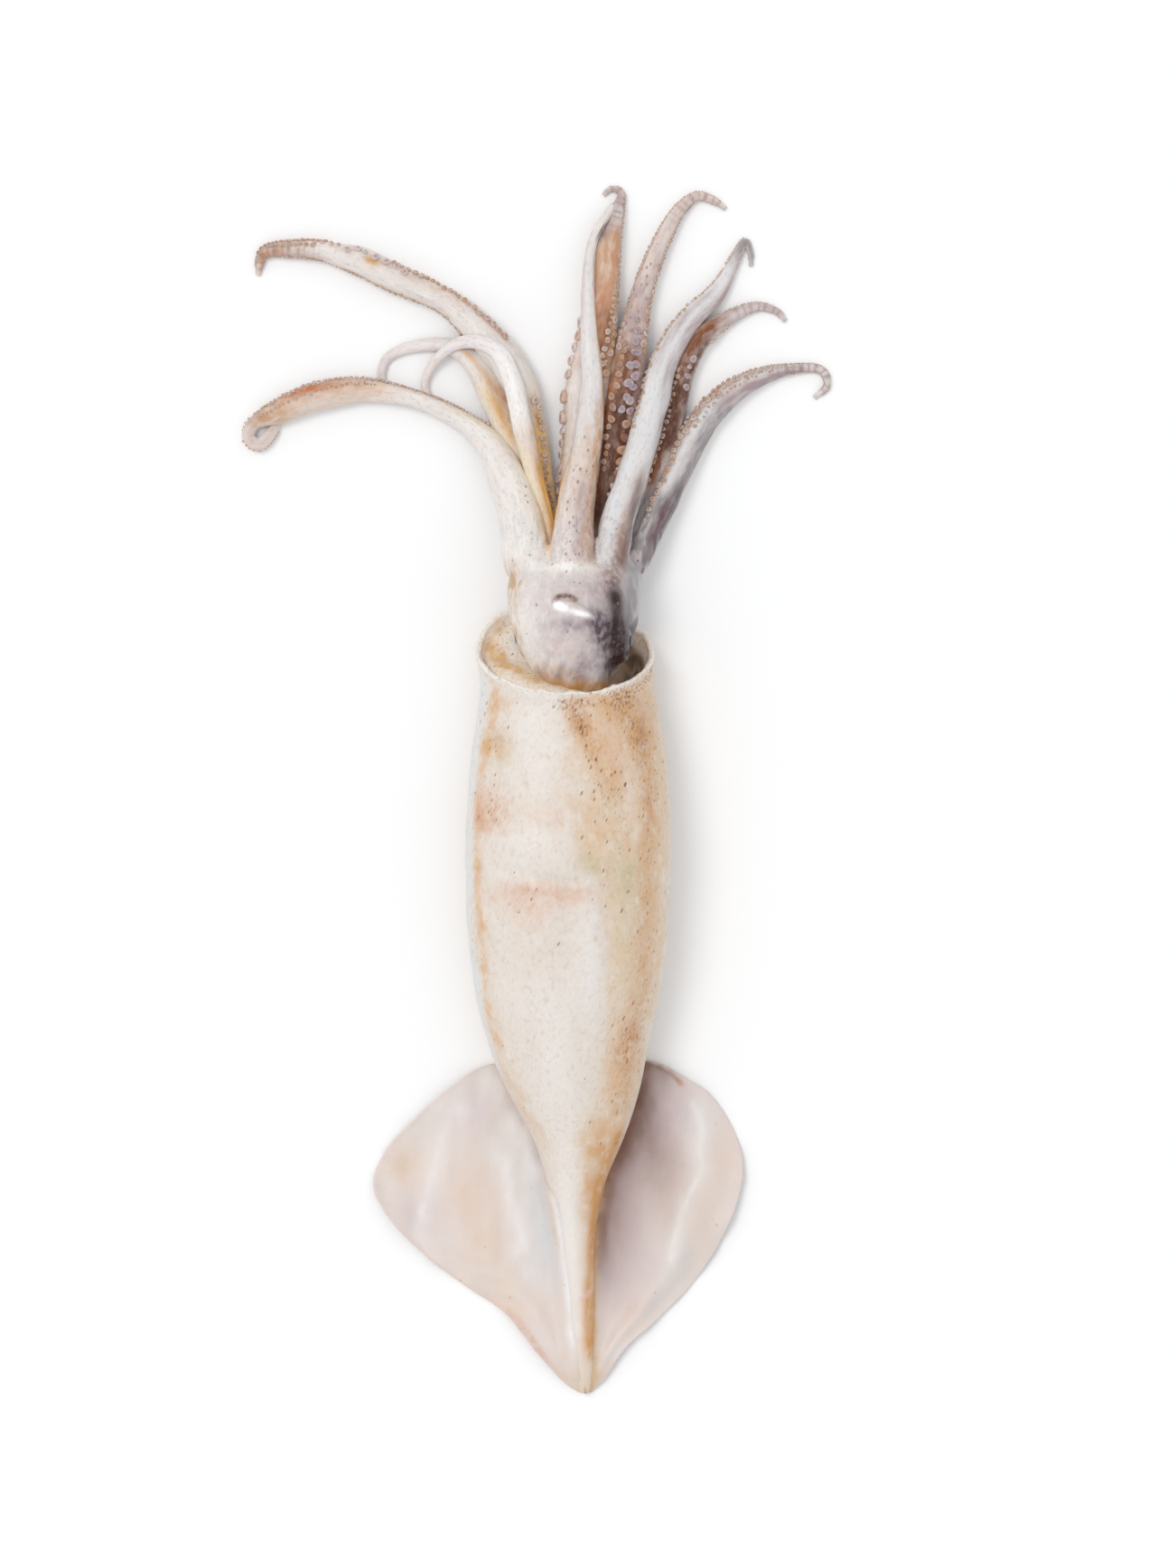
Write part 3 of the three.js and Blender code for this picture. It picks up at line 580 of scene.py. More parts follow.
class Skin:
    """A wet, slightly see-through skin: colours laid over one another, spots and fine relief."""

    def __init__(self, name, base, rough, subsurface=0.25, coat=0.06):
        self.material = bpy.data.materials.new(name)
        self.material.use_nodes = True
        self.nodes = self.material.node_tree.nodes
        self.links = self.material.node_tree.links
        self.inputs = self.nodes["Principled BSDF"].inputs
        self.place = self.add("ShaderNodeAttribute", attribute_name="place").outputs["Vector"]
        self.colour = rgb(base)
        self.heights = []
        self.rough = rough
        self.inputs["Subsurface Weight"].default_value = subsurface
        self.inputs["Subsurface Radius"].default_value = FLESH_REACH
        self.inputs["Subsurface Scale"].default_value = FLESH_DEPTH * MM
        self.inputs["Specular IOR Level"].default_value = SHINE
        self.inputs["Coat Weight"].default_value = coat
        self.inputs["Coat Roughness"].default_value = COAT_ROUGHNESS

    def add(self, kind, **settings):
        node = self.nodes.new(kind)
        for key, value in settings.items():
            setattr(node, key, value)
        return node

    def put(self, socket, value):
        if isinstance(value, bpy.types.NodeSocket):
            self.links.new(value, socket)
        else:
            socket.default_value = value

    def math(self, operation, a, b, c=0.0):
        """A calculation on numbers or on what other nodes give."""
        node = self.add("ShaderNodeMath", operation=operation)
        for socket, value in zip(node.inputs, (a, b, c)):
            self.put(socket, value)
        return node.outputs[0]

    def times(self, a, b):
        return self.math("MULTIPLY", a, b)

    def ramp(self, value, low, high):
        """0 at low and 1 at high, with a soft step between them."""
        node = self.add("ShaderNodeMapRange", interpolation_type="SMOOTHSTEP")
        for name, given in (("Value", value), ("From Min", low), ("From Max", high)):
            self.put(node.inputs[name], given)
        return node.outputs["Result"]

    def scaled(self, size, stretch=1.0, lean=0.0):
        """The place in units of a size that is longer by stretch along Y, which leans."""
        node = self.add("ShaderNodeMapping", vector_type="TEXTURE")
        self.put(node.inputs["Vector"], self.place)
        node.inputs["Scale"].default_value = (size, size * stretch, size)
        node.inputs["Rotation"].default_value = (0, 0, math.radians(-lean))
        return node.outputs["Vector"]

    def noise(self, size, stretch=1.0, lean=0.0, detail=3.0):
        node = self.add("ShaderNodeTexNoise")
        self.put(node.inputs["Vector"], self.scaled(size, stretch, lean))
        node.inputs["Scale"].default_value = 1.0
        node.inputs["Detail"].default_value = detail
        return node.outputs["Fac"]

    def mask(self, name):
        return self.add("ShaderNodeAttribute", attribute_name=name).outputs["Fac"]

    def lay(self, amount, colour):
        """Lays a colour over what is there."""
        node = self.add("ShaderNodeMix", data_type="RGBA")
        for socket, value in zip(MIX_SOCKETS, (amount, self.colour, rgb(colour))):
            self.put(node.inputs[socket], value)
        self.colour = node.outputs[MIX_RESULT]

    def paint(self, name, colour, size, stretch, ragged, most=1.0):
        """Lays a colour where a mask is, with its edge and strength broken up by noise."""
        grain = self.ramp(self.noise(size, stretch, detail=5.0), 0.3, 0.7)
        kept = self.math("MULTIPLY_ADD", grain, 2 * ragged, 1 - ragged)
        amount = self.math("MINIMUM", self.times(self.mask(name), kept), 1.0)
        self.lay(self.times(amount, most), colour)

    def paint_all(self, colours):
        """Lays the colours of a table, in its order."""
        for name, row in colours.items():
            self.paint(name, *row)

    def mottle(self, colour, size, most, stretch=1.0, low=0.45):
        """Lays a faint uneven colour everywhere."""
        amount = self.ramp(self.noise(size, stretch, detail=4.0), low, 0.75)
        self.lay(self.times(amount, most), colour)

    def strokes(self, density, colour, size, stretch, lean, most):
        """Fine slanted strokes, stronger where the density is."""
        drawn = self.ramp(self.noise(size, stretch, lean, 2.0), 0.53, 0.66)
        self.lay(self.times(self.times(drawn, density), most), colour)

    def specks(self, density, colour, size, stretch, lean, most, radius):
        """Small pigment spots, as many as the density says."""
        cells = self.add("ShaderNodeTexVoronoi")
        self.put(cells.inputs["Vector"], self.scaled(size, stretch, lean))
        cells.inputs["Scale"].default_value = 1.0
        draw = self.add("ShaderNodeSeparateColor")
        self.put(draw.inputs[0], cells.outputs["Color"])
        shown = self.math("LESS_THAN", draw.outputs[0], density)
        reach = self.times(self.math("ADD", draw.outputs[1], 0.5), radius)
        body = self.ramp(self.math("SUBTRACT", reach, cells.outputs["Distance"]), 0.0, radius / 2)
        self.lay(self.times(self.times(shown, body), most), colour)

    def relief(self, amount, size, stretch, lean=0, detail=3.0):
        """Adds bumps of a size to the skin's relief."""
        self.heights.append(self.times(self.noise(size, stretch, lean, detail), amount))

    def finish(self, strength):
        """Joins the colours, an uneven gloss and the relief to the shader."""
        self.put(self.inputs["Base Color"], self.colour)
        gloss = self.times(self.ramp(self.noise(5.0, detail=4.0), 0.3, 0.7), GLOSS_SPREAD)
        self.put(self.inputs["Roughness"], self.math("ADD", gloss, self.rough - GLOSS_SPREAD / 2))
        total = self.heights[0]
        for height in self.heights[1:]:
            total = self.math("ADD", total, height)
        bump = self.add("ShaderNodeBump")
        bump.inputs["Strength"].default_value = strength
        bump.inputs["Distance"].default_value = RELIEF_HEIGHT * MM
        self.put(bump.inputs["Height"], total)
        self.put(self.inputs["Normal"], bump.outputs["Normal"])
        return self


# The colours of each skin, in the order in which they are laid: the mask that says where, then
# the colour and the size, stretch and raggedness of its patches.
MANTLE_COLOURS = {
    "beige": ("DAC3A9", 6, 1.5, 0.35),
    # pale skin, and a painted highlight on the belly's ridge
    "white": ("E3DDD8", 6, 1.5, 0.25),
    "olive": ("C4B692", 4, 1, 0.35),
    "pink": ("D8B9A6", 1.8, 1, 0.5),
    "tan": ("D2AB82", 2.4, 1.4, 0.5),
    "rust": ("C48E6A", 1.8, 1.8, 0.5),
    "brown": ("B98C64", 2.2, 1.4, 0.5),
    "gold": ("CC9760", 2.4, 4, 0.25),
    "grey": ("D6D8D8", 5, 2, 0.3),
    "inside": ("EFE8DF", 3, 1, 0.3),
    # orange flesh in the opening, also painted shade along the fold to the neck and on its right side
    "orange": ("D2AC7C", 2.6, 1, 0.3),
    # painted shade: the dark deep inside the opening on the right, where the wall lies in shadow
    "opening_painted_shade": ("7A6250", 3, 1, 0.3),
    "lip": ("E6E1DC", 2, 1, 0.4),
}
FIN_COLOURS = {
    "peach": ("DDC8B9", 8, 1.5, 0.4),
    # pinkish mauve, and on the right fin also painted shade in a wide band beside the mantle
    "mauve": ("CABABD", 7, 1.8, 0.3),
    # grey: on the left fin, painted shade in a band beside the mantle
    "grey": ("CFCECF", 6, 2, 0.3),
    # painted shade: the dark that the mantle casts on the fins beside it
    "dusk": ("937A73", 6, 2, 0.2),
    "tan": ("CDB08F", 4, 1, 0.5),
    # brown: a mark along the right fin's upper edge, and painted shadow along the mantle's side
    "brown": ("86604C", 3, 1.2, 0.3),
    # pale streaks; on the folds' crests also a painted highlight, and beside the left fin's root painted
    # light against the mantle's shade
    "white": ("E6E1DE", 4, 2, 0.4),
    "rust": ("CCA38C", 2.5, 1, 0.5),
    "rim": ("D6C8C3", 2, 1, 0.4),
}
ARM_COLOURS = {
    # whitish skin, in part a painted highlight along the arms' tops
    "white": ("EDEAE7", 1.6, 5.0, 0.3),
    "cool": ("D9D8D9", 1.6, 5.0, 0.3),
    "clear": ("E6DFDF", 1.6, 3.0, 0.3),
    "cream": ("E4D6BE", 2.4, 3.0, 0.3),
    "peach": ("DDC3B0", 1.4, 2.5, 0.5),
    "gold": ("CC9A55", 2.0, 3.0, 0.35),
    "amber": ("F5C06C", 2.0, 3.0, 0.25),
    "tan": ("C29C7C", 1.3, 2.0, 0.55),
    # grey-purple mottle, in part painted shade on the arms' right flanks
    "mauve": ("AB9496", 1.3, 4.0, 0.5),
    "grey": ("989193", 1.3, 4.0, 0.5),
    "slate": ("686062", 1.4, 4.0, 0.5),
    "rust": ("BE7448", 1.6, 2.0, 0.5),
    "brown": ("7E4A28", 1.8, 2.0, 0.4),
    "purple": ("66464F", 1.6, 3.0, 0.4),
    "dark": ("57290F", 1.8, 2.0, 0.4),
    "bands": ("8A6A66", 1.2, 1.0, 0.5),
}
HEAD_COLOURS = {
    "pale": ("ECE8E3", 4, 1, 0.3),
    "pink": ("C8B8B5", 2.4, 1, 0.4),
    # lilac-grey mottles, and painted shade under the funnel's lip and in the neck's puckers
    "lilac": ("A4969C", 2, 1.2, 0.5),
    "edge": ("C4A382", 1.2, 3, 0.8),
    "marks": ("7C5444", 1, 1.2, 0.5),
    # orange-brown where the neck goes into the opening, partly painted shade
    "root": ("BE8D50", 2, 1, 0.4),
    "silver": ("949093", 2, 3, 0.3),
    "plum": ("56404C", 1.4, 1.2, 0.4),
    "black": ("260A0C", 3, 1.6, 0.1),
    # painted highlight: pure white where the funnel's lip catches the light
    "lip": ("FFFFFF", 2, 1, 0.1),
}
SUCKER_COLOURS = {
    "warm": ("BC9373", 2, 1, 0.4),
    "lilac": ("A8959C", 1.2, 1, 0.4),
    "deep": ("7A5340", 1.5, 1, 0.4),
    "cup": ("957C7C", 1, 1, 0.3, 0.6),
}
EYE_COLOURS = {
    "iris": ("463843", 0.8, 1, 0.5),
    "rim": ("5A4A52", 1, 1, 0.4),
    "pupil": ("0C080A", 1, 1, 0),
}


def mantle_skin():
    skin = Skin("mantle_skin", "DDD6CE", rough=0.52)
    skin.mottle("E0DAD4", 7.0, 0.6, stretch=1.6)
    skin.mottle("D5C8BC", 2.4, 0.45, stretch=1.5)
    skin.paint_all(MANTLE_COLOURS)
    skin.mottle("BFA283", 1.0, skin.times(skin.mask("grain"), 1.75), stretch=1.5, low=0.5)
    skin.mottle("E6E0DA", 2.2, 0.35, stretch=1.5, low=0.5)
    dense = skin.mask("specks")
    skin.strokes(skin.math("ADD", dense, skin.mask("grain")), "AD8664", 0.55, 2.2, 27, 0.6)
    skin.strokes(skin.ramp(dense, 0.5, 1.0), "8A5B3C", 0.5, 2.6, 27, 0.7)
    skin.specks(dense, "946A4B", 0.75, 2.8, 27, 0.75, 0.26)
    skin.specks(skin.times(dense, 0.35), "785642", 1.0, 2.8, 29, 0.7, 0.18)
    skin.specks(skin.mask("dashes"), "7E5036", 1.05, 2.5, 25, 0.85, 0.28)
    skin.relief(0.7, 0.8, 1.6, 25, 4.0)
    skin.relief(1.0, 4.0, 1.6, 10)
    return skin.finish(0.5)


def fin_skin():
    skin = Skin("fin_skin", "DACFC9", rough=0.6, subsurface=0.15, coat=0.03)
    skin.mottle("E0D7D3", 8.0, 0.6, stretch=2.0)
    skin.paint_all(FIN_COLOURS)
    skin.specks(skin.mask("specks"), "B58C7C", 1.3, 1.4, 20, 0.4, 0.2)
    skin.relief(1.0, 3.5, 2.6, 8, 4.0)
    skin.relief(0.35, 0.8, 1.6)
    return skin.finish(0.4)


def lay_arm_colours(skin):
    """What the arms and their bases on the head share."""
    skin.mottle("D2C2BD", 1.5, 0.6, stretch=5.0)
    skin.mottle("E8E2DE", 1.1, 0.7, stretch=7.0)
    skin.paint_all(ARM_COLOURS)
    skin.specks(skin.mask("dots"), "8F6A70", 1.0, 1.6, 0, 0.7, 0.26)


def head_skin():
    skin = Skin("head_skin", "D2CCC9", rough=0.45, coat=0.1)
    skin.mottle("C4BABA", 4.0, 0.5)
    skin.mottle("DCD6D1", 2.2, 0.6)
    skin.lay(skin.mask("arm"), "DDD5CF")
    lay_arm_colours(skin)
    skin.paint_all(HEAD_COLOURS)
    dense = skin.mask("specks")
    skin.strokes(dense, "9B8280", 0.6, 2.0, 20, 0.5)
    skin.specks(skin.times(dense, 0.5), "8A6A66", 1.2, 1.3, 20, 0.6, 0.22)
    skin.specks(skin.times(dense, 0.2), "4B3A40", 2.2, 1.5, 20, 0.8, 0.13)
    skin.relief(0.8, 0.8, 1.4, 0, 4.0)
    skin.relief(1.0, 2.6, 1.6)
    return skin.finish(0.6)


def arm_skin():
    skin = Skin("arm_skin", "DDD5CF", rough=0.46, coat=0.1)
    lay_arm_colours(skin)
    skin.strokes(skin.mask("specks"), "A58A80", 0.5, 3.0, 0, 0.6)
    skin.relief(1.0, 0.6, 2.0, 0, 4.0)
    skin.relief(1.0, 1.8, 3.0)
    return skin.finish(0.7)


def sucker_skin():
    skin = Skin("sucker_skin", "CFC0BB", rough=0.58, subsurface=0.35, coat=0.02)
    skin.mottle("B5A19C", 1.0, 0.6)
    skin.paint_all(SUCKER_COLOURS)
    skin.relief(0.6, 0.5, 1.0)
    return skin.finish(0.4)


def eye_skin():
    skin = Skin("eye_skin", "2B2026", rough=0.25, subsurface=0.0, coat=0.6)
    skin.mottle("3A2D36", 1.0, 0.5)
    skin.paint_all(EYE_COLOURS)
    skin.relief(0.4, 0.6, 1.0)
    return skin.finish(0.2)


# ---------------------------------------------------------------- mantle

mantle_at = curves_of(MANTLE)
LIP_RADIUS = LIP_WALL / 2
LIP_FRONT = LIP_SLANT / 2 - LIP_RADIUS  # where the lip's round edge begins, before the slant
TIP_LENGTH = 1.8  # how long the tail's round tip is
TIP_Z = 1.2
FLOOR_BULGE = 2.0  # how far the opening's floor bulges out
OPENING_WAY = np.array([0, 0.8, 0.6])  # the way the slanted opening looks

BEIGE = [  # y, the x where the beige of the right begins there, and how soft that border is
    (-120, 4.4, 4.0), (-101, 4.6, 4.0), (-89, 7.0, 3.0), (-77, 8.2, 1.6), (-65, 8.2, 1.2),
    (-53, 7.6, 1.2), (-41, 7.2, 1.4), (-35, 2.0, 3.6), (-20, 1.0, 4.0), (-3, 1.5, 4.0),
]
STRIPE = [(16.0, -8), (17.8, -26), (17.4, -45), (16.2, -60), (14.6, -74), (11.5, -92)]
GOLD_LINE = [
    (11.4, -99), (9.0, -104.5), (7.1, -109), (6.3, -114.4), (5.4, -126), (4.9, -136), (5.0, -143),
    (5.2, -148),
]
# Orange flesh along the fold where the opening's wall meets the neck, darkened there as painted shade.
ORANGE_FOLD = [
    (-17.8, 9.8), (-14.8, 6.2), (-9.8, 3.6), (-5.4, 1.8), (-1, 1.4), (4, 1.8), (9, 3), (12.8, 5.6),
]
ORANGE_SPOTS = [(0.6, -15.8, 14.4, 1.8, 2.4), (0.5, -15.6, 7.6, 1.8, 2.8)]
# Soft spots on the belly: their strength, x, y, reach in x and in y, and turn. Those with "above"
# in their name end in a line on the left, those with "below" begin at the cross crease.
BELLY_SPOTS = {
    "tan": [
        (0.6, 2.4, -5.5, 2.8, 5, 10), (0.5, 5, -11, 3.6, 8, 25), (0.8, 9.6, -2.6, 4.2, 3.6),
        (0.7, 14, -9, 4, 7, 20), (0.5, 9.5, -19, 2.6, 6, 27), (0.4, 3, -28, 6, 6, -30),
        (0.4, 12, -33, 5, 4), (0.6, -15.8, -12, 2.4, 3), (0.4, -15, -3, 2, 2.4), (0.5, 11.6, -79, 3.4, 8),
        (0.7, 4.6, -112, 2.4, 6), (0.9, 7, -101, 4.2, 5.6), (0.4, 10, -90, 3.4, 6),
    ],
    "brown": [
        (0.35, 2, -5, 2.2, 4, 12), (0.6, 11.6, -3, 3, 2.6), (0.3, 17.4, -4, 2.6, 5),
        (0.45, 15.4, -9, 2.2, 6, 12), (0.3, 8.4, -103, 1.4, 5, 20), (0.35, 6.6, -114, 1, 8, 8),
        (0.3, -15.6, -11, 1.4, 1.8),
    ],
    "rust above": [(0.4, -19.8, -28, 1.2, 5), (0.2, -17.2, -27, 2.6, 5)],
    "rust": [
        (0.4, 2.2, -6, 2, 4.4, 12), (0.4, 14.2, -75.6, 1.6, 3), (0.4, 17.6, -25, 1.2, 5),
        (0.25, -9.5, -44, 2.4, 1.4),
    ],
    "pink below": [(0.7, -9, -45, 8, 3.6), (0.55, 1, -45, 5, 2.6), (0.35, -9, -50, 4, 3)],
    "pink above": [(0.7, -16.5, -27, 3.4, 6), (0.4, -19.5, -27.5, 1.4, 5)],
    "pink": [(0.15, -6, -60, 6, 5), (0.6, 10, -14, 5, 8, 15), (0.3, -8, -27, 5, 3), (0.4, 12, -80, 3, 6)],
    "olive": [
        (0.7, 11.6, -6.5, 2.6, 2.6), (0.6, 9.6, -22, 2.6, 4), (0.7, 4.6, -38, 3.4, 2.4, -20),
        (0.7, 12.6, -42, 3.4, 7), (0.3, 12.6, -56, 2.4, 14), (0.5, -15, -13, 2.2, 4),
    ],
    # The long spot at x 4.6, y -58, on the ridge between the two hollows, is a painted highlight.
    "white": [
        (0.8, -7, -12, 5, 11), (0.7, 12.5, -22, 1.8, 5), (0.8, -8, -33, 8, 4), (0.9, 4.6, -58, 2.4, 12),
        (0.8, -3, -84, 5, 12), (0.6, -12, -40, 5, 2), (0.7, -5, -66, 9, 9), (0.7, 0.6, -103, 3, 9),
        (1.2, -0.6, -120, 2.6, 12), (1.2, 1.2, -137, 2.2, 10),
    ],
    "dashes": [
        (1.1, 2, -5.4, 2.2, 4.2, 12), (1, 3, -11.8, 1.3, 3.8, 28), (0.6, 5.4, -17, 1.4, 3, 25),
        (0.4, 10, -17, 2, 3), (0.3, 13, -4, 3, 3), (0.4, 17, -12, 1.6, 6, 10),
    ],
    "specks": [
        (0.9, 2.4, -7.4, 2.2, 8, 22), (0.5, 14, -9, 3.4, 9, 12), (0.5, 9, -22, 2.6, 8, 20),
        (0.5, -17, -26, 3, 6), (0.3, -16, -8, 2.4, 10), (0.15, -8, -46, 8, 3), (0.55, 11.8, -78, 2.8, 7),
        (0.15, 8, -96, 4, 8), (0.9, 11.6, -2, 3, 3.2),
    ],
}


def mantle_points(y, angle, inset):
    """Points on the mantle's skin, inset by a depth, for y of the ring and the angle round it."""
    back, left = -np.sin(angle), -np.cos(angle)
    lean = smooth(y, SLANT_FROM, LIP_SLANT / 2)
    reach = LIP_SLANT / 2 * back + LIP_FLARE * np.maximum(back, 0) * np.maximum(left, 0)
    y = y + lean * reach
    middle, half, top = mantle_at(y)
    level = top * WIDEST
    c, s = np.cos(angle), np.sin(angle)
    around = 2 / np.where(s > 0, BELLY, BACK)
    rise = np.where(s > 0, top - level, level)
    x = middle + (half - inset) * power(c, around)
    z = level + (rise - inset) * power(s, around)
    return np.stack(np.broadcast_arrays(x, y, z), -1)


def crease_at(x):
    """Where the crease across the belly runs."""
    return -40.4 - 0.10 * (x + 8) + 0.5 * np.sin(x / 3.1)


def mantle_relief(at, angle, belly, from_lip):
    """How far the skin goes in: soft swells, a cross crease, two long hollows and collar folds."""
    x, y = at[..., 0], at[..., 1]
    swells = 0.22 * (1 + ripple(at, 26, 3)) / 2 + 0.10 * (1 + ripple(at, 9, 5)) / 2
    crease_y = crease_at(x)
    crease = 0.55 * bell(y, crease_y, 1.1) * between(x, -20, -15, 1, 5)
    terrace = 0.30 * between(y, crease_y - 9, crease_y, crease_y - 0.5, crease_y + 0.5)
    hollows = 0.5 * bell(x, -0.6, 2.6) * between(y, -76, -62, -46, -40)
    hollows += 0.35 * bell(x, 9.2, 2.4) * between(y, -70, -58, -44, -36)
    collar = 0.16 * (1 + np.sin(angle * 31 + 2.2 * np.sin(angle * 5))) * bell(from_lip, 1.6, 2.4)
    groove = 0.34 * bell(from_lip, 1.7, 0.7)
    return (swells + belly * (crease + terrace + hollows)) * smooth(y, -150, -118) + collar + groove


def mantle_rings():
    """The mantle's rings, from the tail over the lip to the middle of the opening's floor.

    With them come, for each of their points, y before the slant, how much it is on the belly,
    whether it is outside, and how near it is to the fold between the opening's wall and floor.
    """
    outer, turned, inner, floor = steps(270), steps(12), steps(24), steps(26)
    angle = circle(steps(230))
    depth = RECESS_LEFT + (RECESS_RIGHT - RECESS_LEFT) * smooth(np.cos(angle), 0.1, 0.9)
    bend = np.linspace(0, np.pi, turned + 2)[1:-1, None]
    sunk = np.linspace(0, 1, inner)[:, None]
    lip_y = LIP_FRONT + LIP_RADIUS * np.sin(bend)
    parts_y = [np.linspace(TAIL_Y, LIP_FRONT, outer)[:, None], lip_y, LIP_FRONT - depth * sunk]
    y = np.concatenate([part + 0 * angle for part in parts_y])
    lip_wall = LIP_RADIUS * (1 - np.cos(bend)) + 0 * angle
    inner_wall = LIP_WALL + (WALL - LIP_WALL) * smooth(depth * sunk, 0, 4)
    wall = np.concatenate([np.zeros((outer, angle.size)), lip_wall, inner_wall])
    belly = smooth(np.sin(angle), -0.75, -0.25) + 0 * y
    outside = np.concatenate([np.ones(outer), np.zeros(turned + inner)])[:, None]
    from_lip = LIP_FRONT - y
    even = mantle_points(y, angle, wall)
    uneven = 0.22 * (2 + ripple(even, 5, 7) + 0.6 * ripple(even, 1.9, 8)) * bell(from_lip, 0, 3.0)
    inward = mantle_relief(even, angle, belly, from_lip)
    shell = mantle_points(y - uneven, angle, wall + outside * inward)
    # The tail ends in a round tip.
    rounded = np.sqrt(1 - (1 - np.clip((shell[..., 1:2] - TAIL_Y) / TIP_LENGTH, 0, 1)) ** 2)
    tip = np.array([TAIL_X, TIP_Z])
    shell[..., ::2] = tip + (shell[..., ::2] - tip) * rounded

    # The opening's floor bulges between the wall and the neck, which comes out of its middle.
    into = np.linspace(0, 1, floor + 1)[1:-1, None, None]
    swollen = FLOOR_BULGE * np.sin(np.pi * into**0.6) * smooth(-np.cos(angle), -0.7, 0.4)[..., None]
    membrane = shell[-1] * (1 - into) + shell[-1].mean(0) * into + swollen * OPENING_WAY
    rings = above_floor(np.concatenate([shell, membrane]))
    fold = np.concatenate([np.zeros(outer + turned), sunk[:, 0] ** 2, (1 - into[:, 0, 0]) ** 6])[:, None]
    more = len(membrane)
    onward = [np.concatenate([part, np.repeat(part[-1:], more, axis=0)]) for part in (y, belly, outside)]
    return rings, *onward, fold


def mantle_masks(at, ring_y, belly, outside, fold):
    """Where each colour of the mantle is, from its points and what mantle_rings says of them."""
    x, y = at[..., 0], at[..., 1]
    from_lip = LIP_FRONT - ring_y
    middle, half, _ = mantle_at(y)
    side = (x - middle) / half
    left, right = smooth(side, 0.1, -0.3), smooth(side, -0.1, 0.3)
    edge = (half - np.abs(x - middle)) * belly + 20 * (1 - belly)
    back = 1 - belly
    inside = 1 - outside + 0 * x
    wander = ripple(at * [1, 0.6, 1], 14, 31) + 0.6 * ripple(at, 5, 32)

    # A tan line follows the left edge and hugs it lower down, and the margin outside it is grey.
    low_down = smooth(y, -58, -86)
    left_line = bell(edge, 3.1 - 1.3 * low_down + 0.5 * wander, 1.3 + 0.8 * low_down) * left
    left_line *= (0.8 + 0.2 * np.clip(ripple(at, 9, 33), -1, 1)) * (1 - 0.4 * low_down)
    left_line *= between(y, -108, -94, -4, 4)
    margin = smooth(edge, 3.0 - 1.6 * low_down, 1.2 - 0.8 * low_down) * left * between(y, -88, -80, 0, 8)
    rim = smooth(edge, 1.4, 0.2)
    # The right is beige, from a line that wanders down the belly to the tail.
    beige_y, beige_x, beige_soft = np.array(BEIGE).T
    soft = np.interp(y, beige_y, beige_soft)
    border = np.interp(y, beige_y, beige_x) + 0.4 * soft * wander
    beige = smooth(x, border - soft, border + soft) * belly * smooth(y, -150, -136)
    stripe = along(swayed(at, 0.5 * wander), STRIPE, 1.9)

    on = {name: belly * spots(at, rows) for name, rows in BELLY_SPOTS.items()}
    crease_y = crease_at(x)
    below = smooth(y, crease_y + 0.4, crease_y - 0.8)
    above = smooth(y, -33.0, -31.6)
    before_tail = smooth(y, -108, -100)
    dusted = 0.35 * stripe + 0.15 * left_line + 0.10 * beige
    dusted += 0.8 * bell(from_lip, 2.4, 1.4) * smooth(x, -8, 0)
    return {
        "beige": 0.7 * beige + 0.5 * back + belly * (0.1 + 0.6 * smooth(y, -142, -153)),
        "tan": on["tan"]
        + belly * (stripe * (0.2 + 0.4 * smooth(y, -90, -30)) + 0.75 * left_line)
        + 0.35 * back,
        "brown": on["brown"] + 0.2 * belly * stripe + 0.25 * back * bell(x, 0, 8),
        "gold": belly * lines(at, (1.0, GOLD_LINE, 1.3), (0.4, GOLD_LINE, 3.0)) * smooth(y, -153, -143),
        "rust": on["rust"] + on["rust above"] * above,
        "pink": on["pink"] + on["pink above"] * above + on["pink below"] * below + 0.25 * back,
        "olive": on["olive"],
        "white": on["white"],
        "grey": belly * (0.8 * margin + 0.45 * rim * right * between(y, -112, -98, -20, 0)),
        "inside": inside,
        # orange flesh inside the opening; along the fold to the neck and on the right side it is also
        # painted shade
        "orange": inside
        * (
            lines(at, (0.5, ORANGE_FOLD, 0.9), (0.45, ORANGE_FOLD, 2.4))
            + spots(at, ORANGE_SPOTS)
            + 0.3 * smooth(side, 0.2, 0.7)
            + 0.1 * fold
        ),
        # painted shade deep in the opening's right side, near the neck
        "opening_painted_shade": 0.9 * inside * smooth(side, 0.42, 0.72) * smooth(from_lip, 1.0, 6.0) * (y > 0),
        "lip": 0.65 * bell(from_lip, -0.5 * LIP_RADIUS, 0.8) * (1 - 0.4 * smooth(side, 0.5, 0.9))
        + 0.3 * bell(from_lip, 0, 0.8) * outside,
        "grain": 0.12 * smooth(y, -116, -106) + 0.04,
        "dashes": on["dashes"],
        "specks": outside * (before_tail * (0.008 + on["specks"] + belly * dusted) + 0.6 * back)
        + 0.3 * inside,
    }


def make_mantle(skin):
    rings, *fields = mantle_rings()
    mesh = to_mesh("mantle", *tube(rings))
    return add_piece("mantle", mesh, skin, with_ends(mantle_masks(rings, *fields)))


# ---------------------------------------------------------------- fins


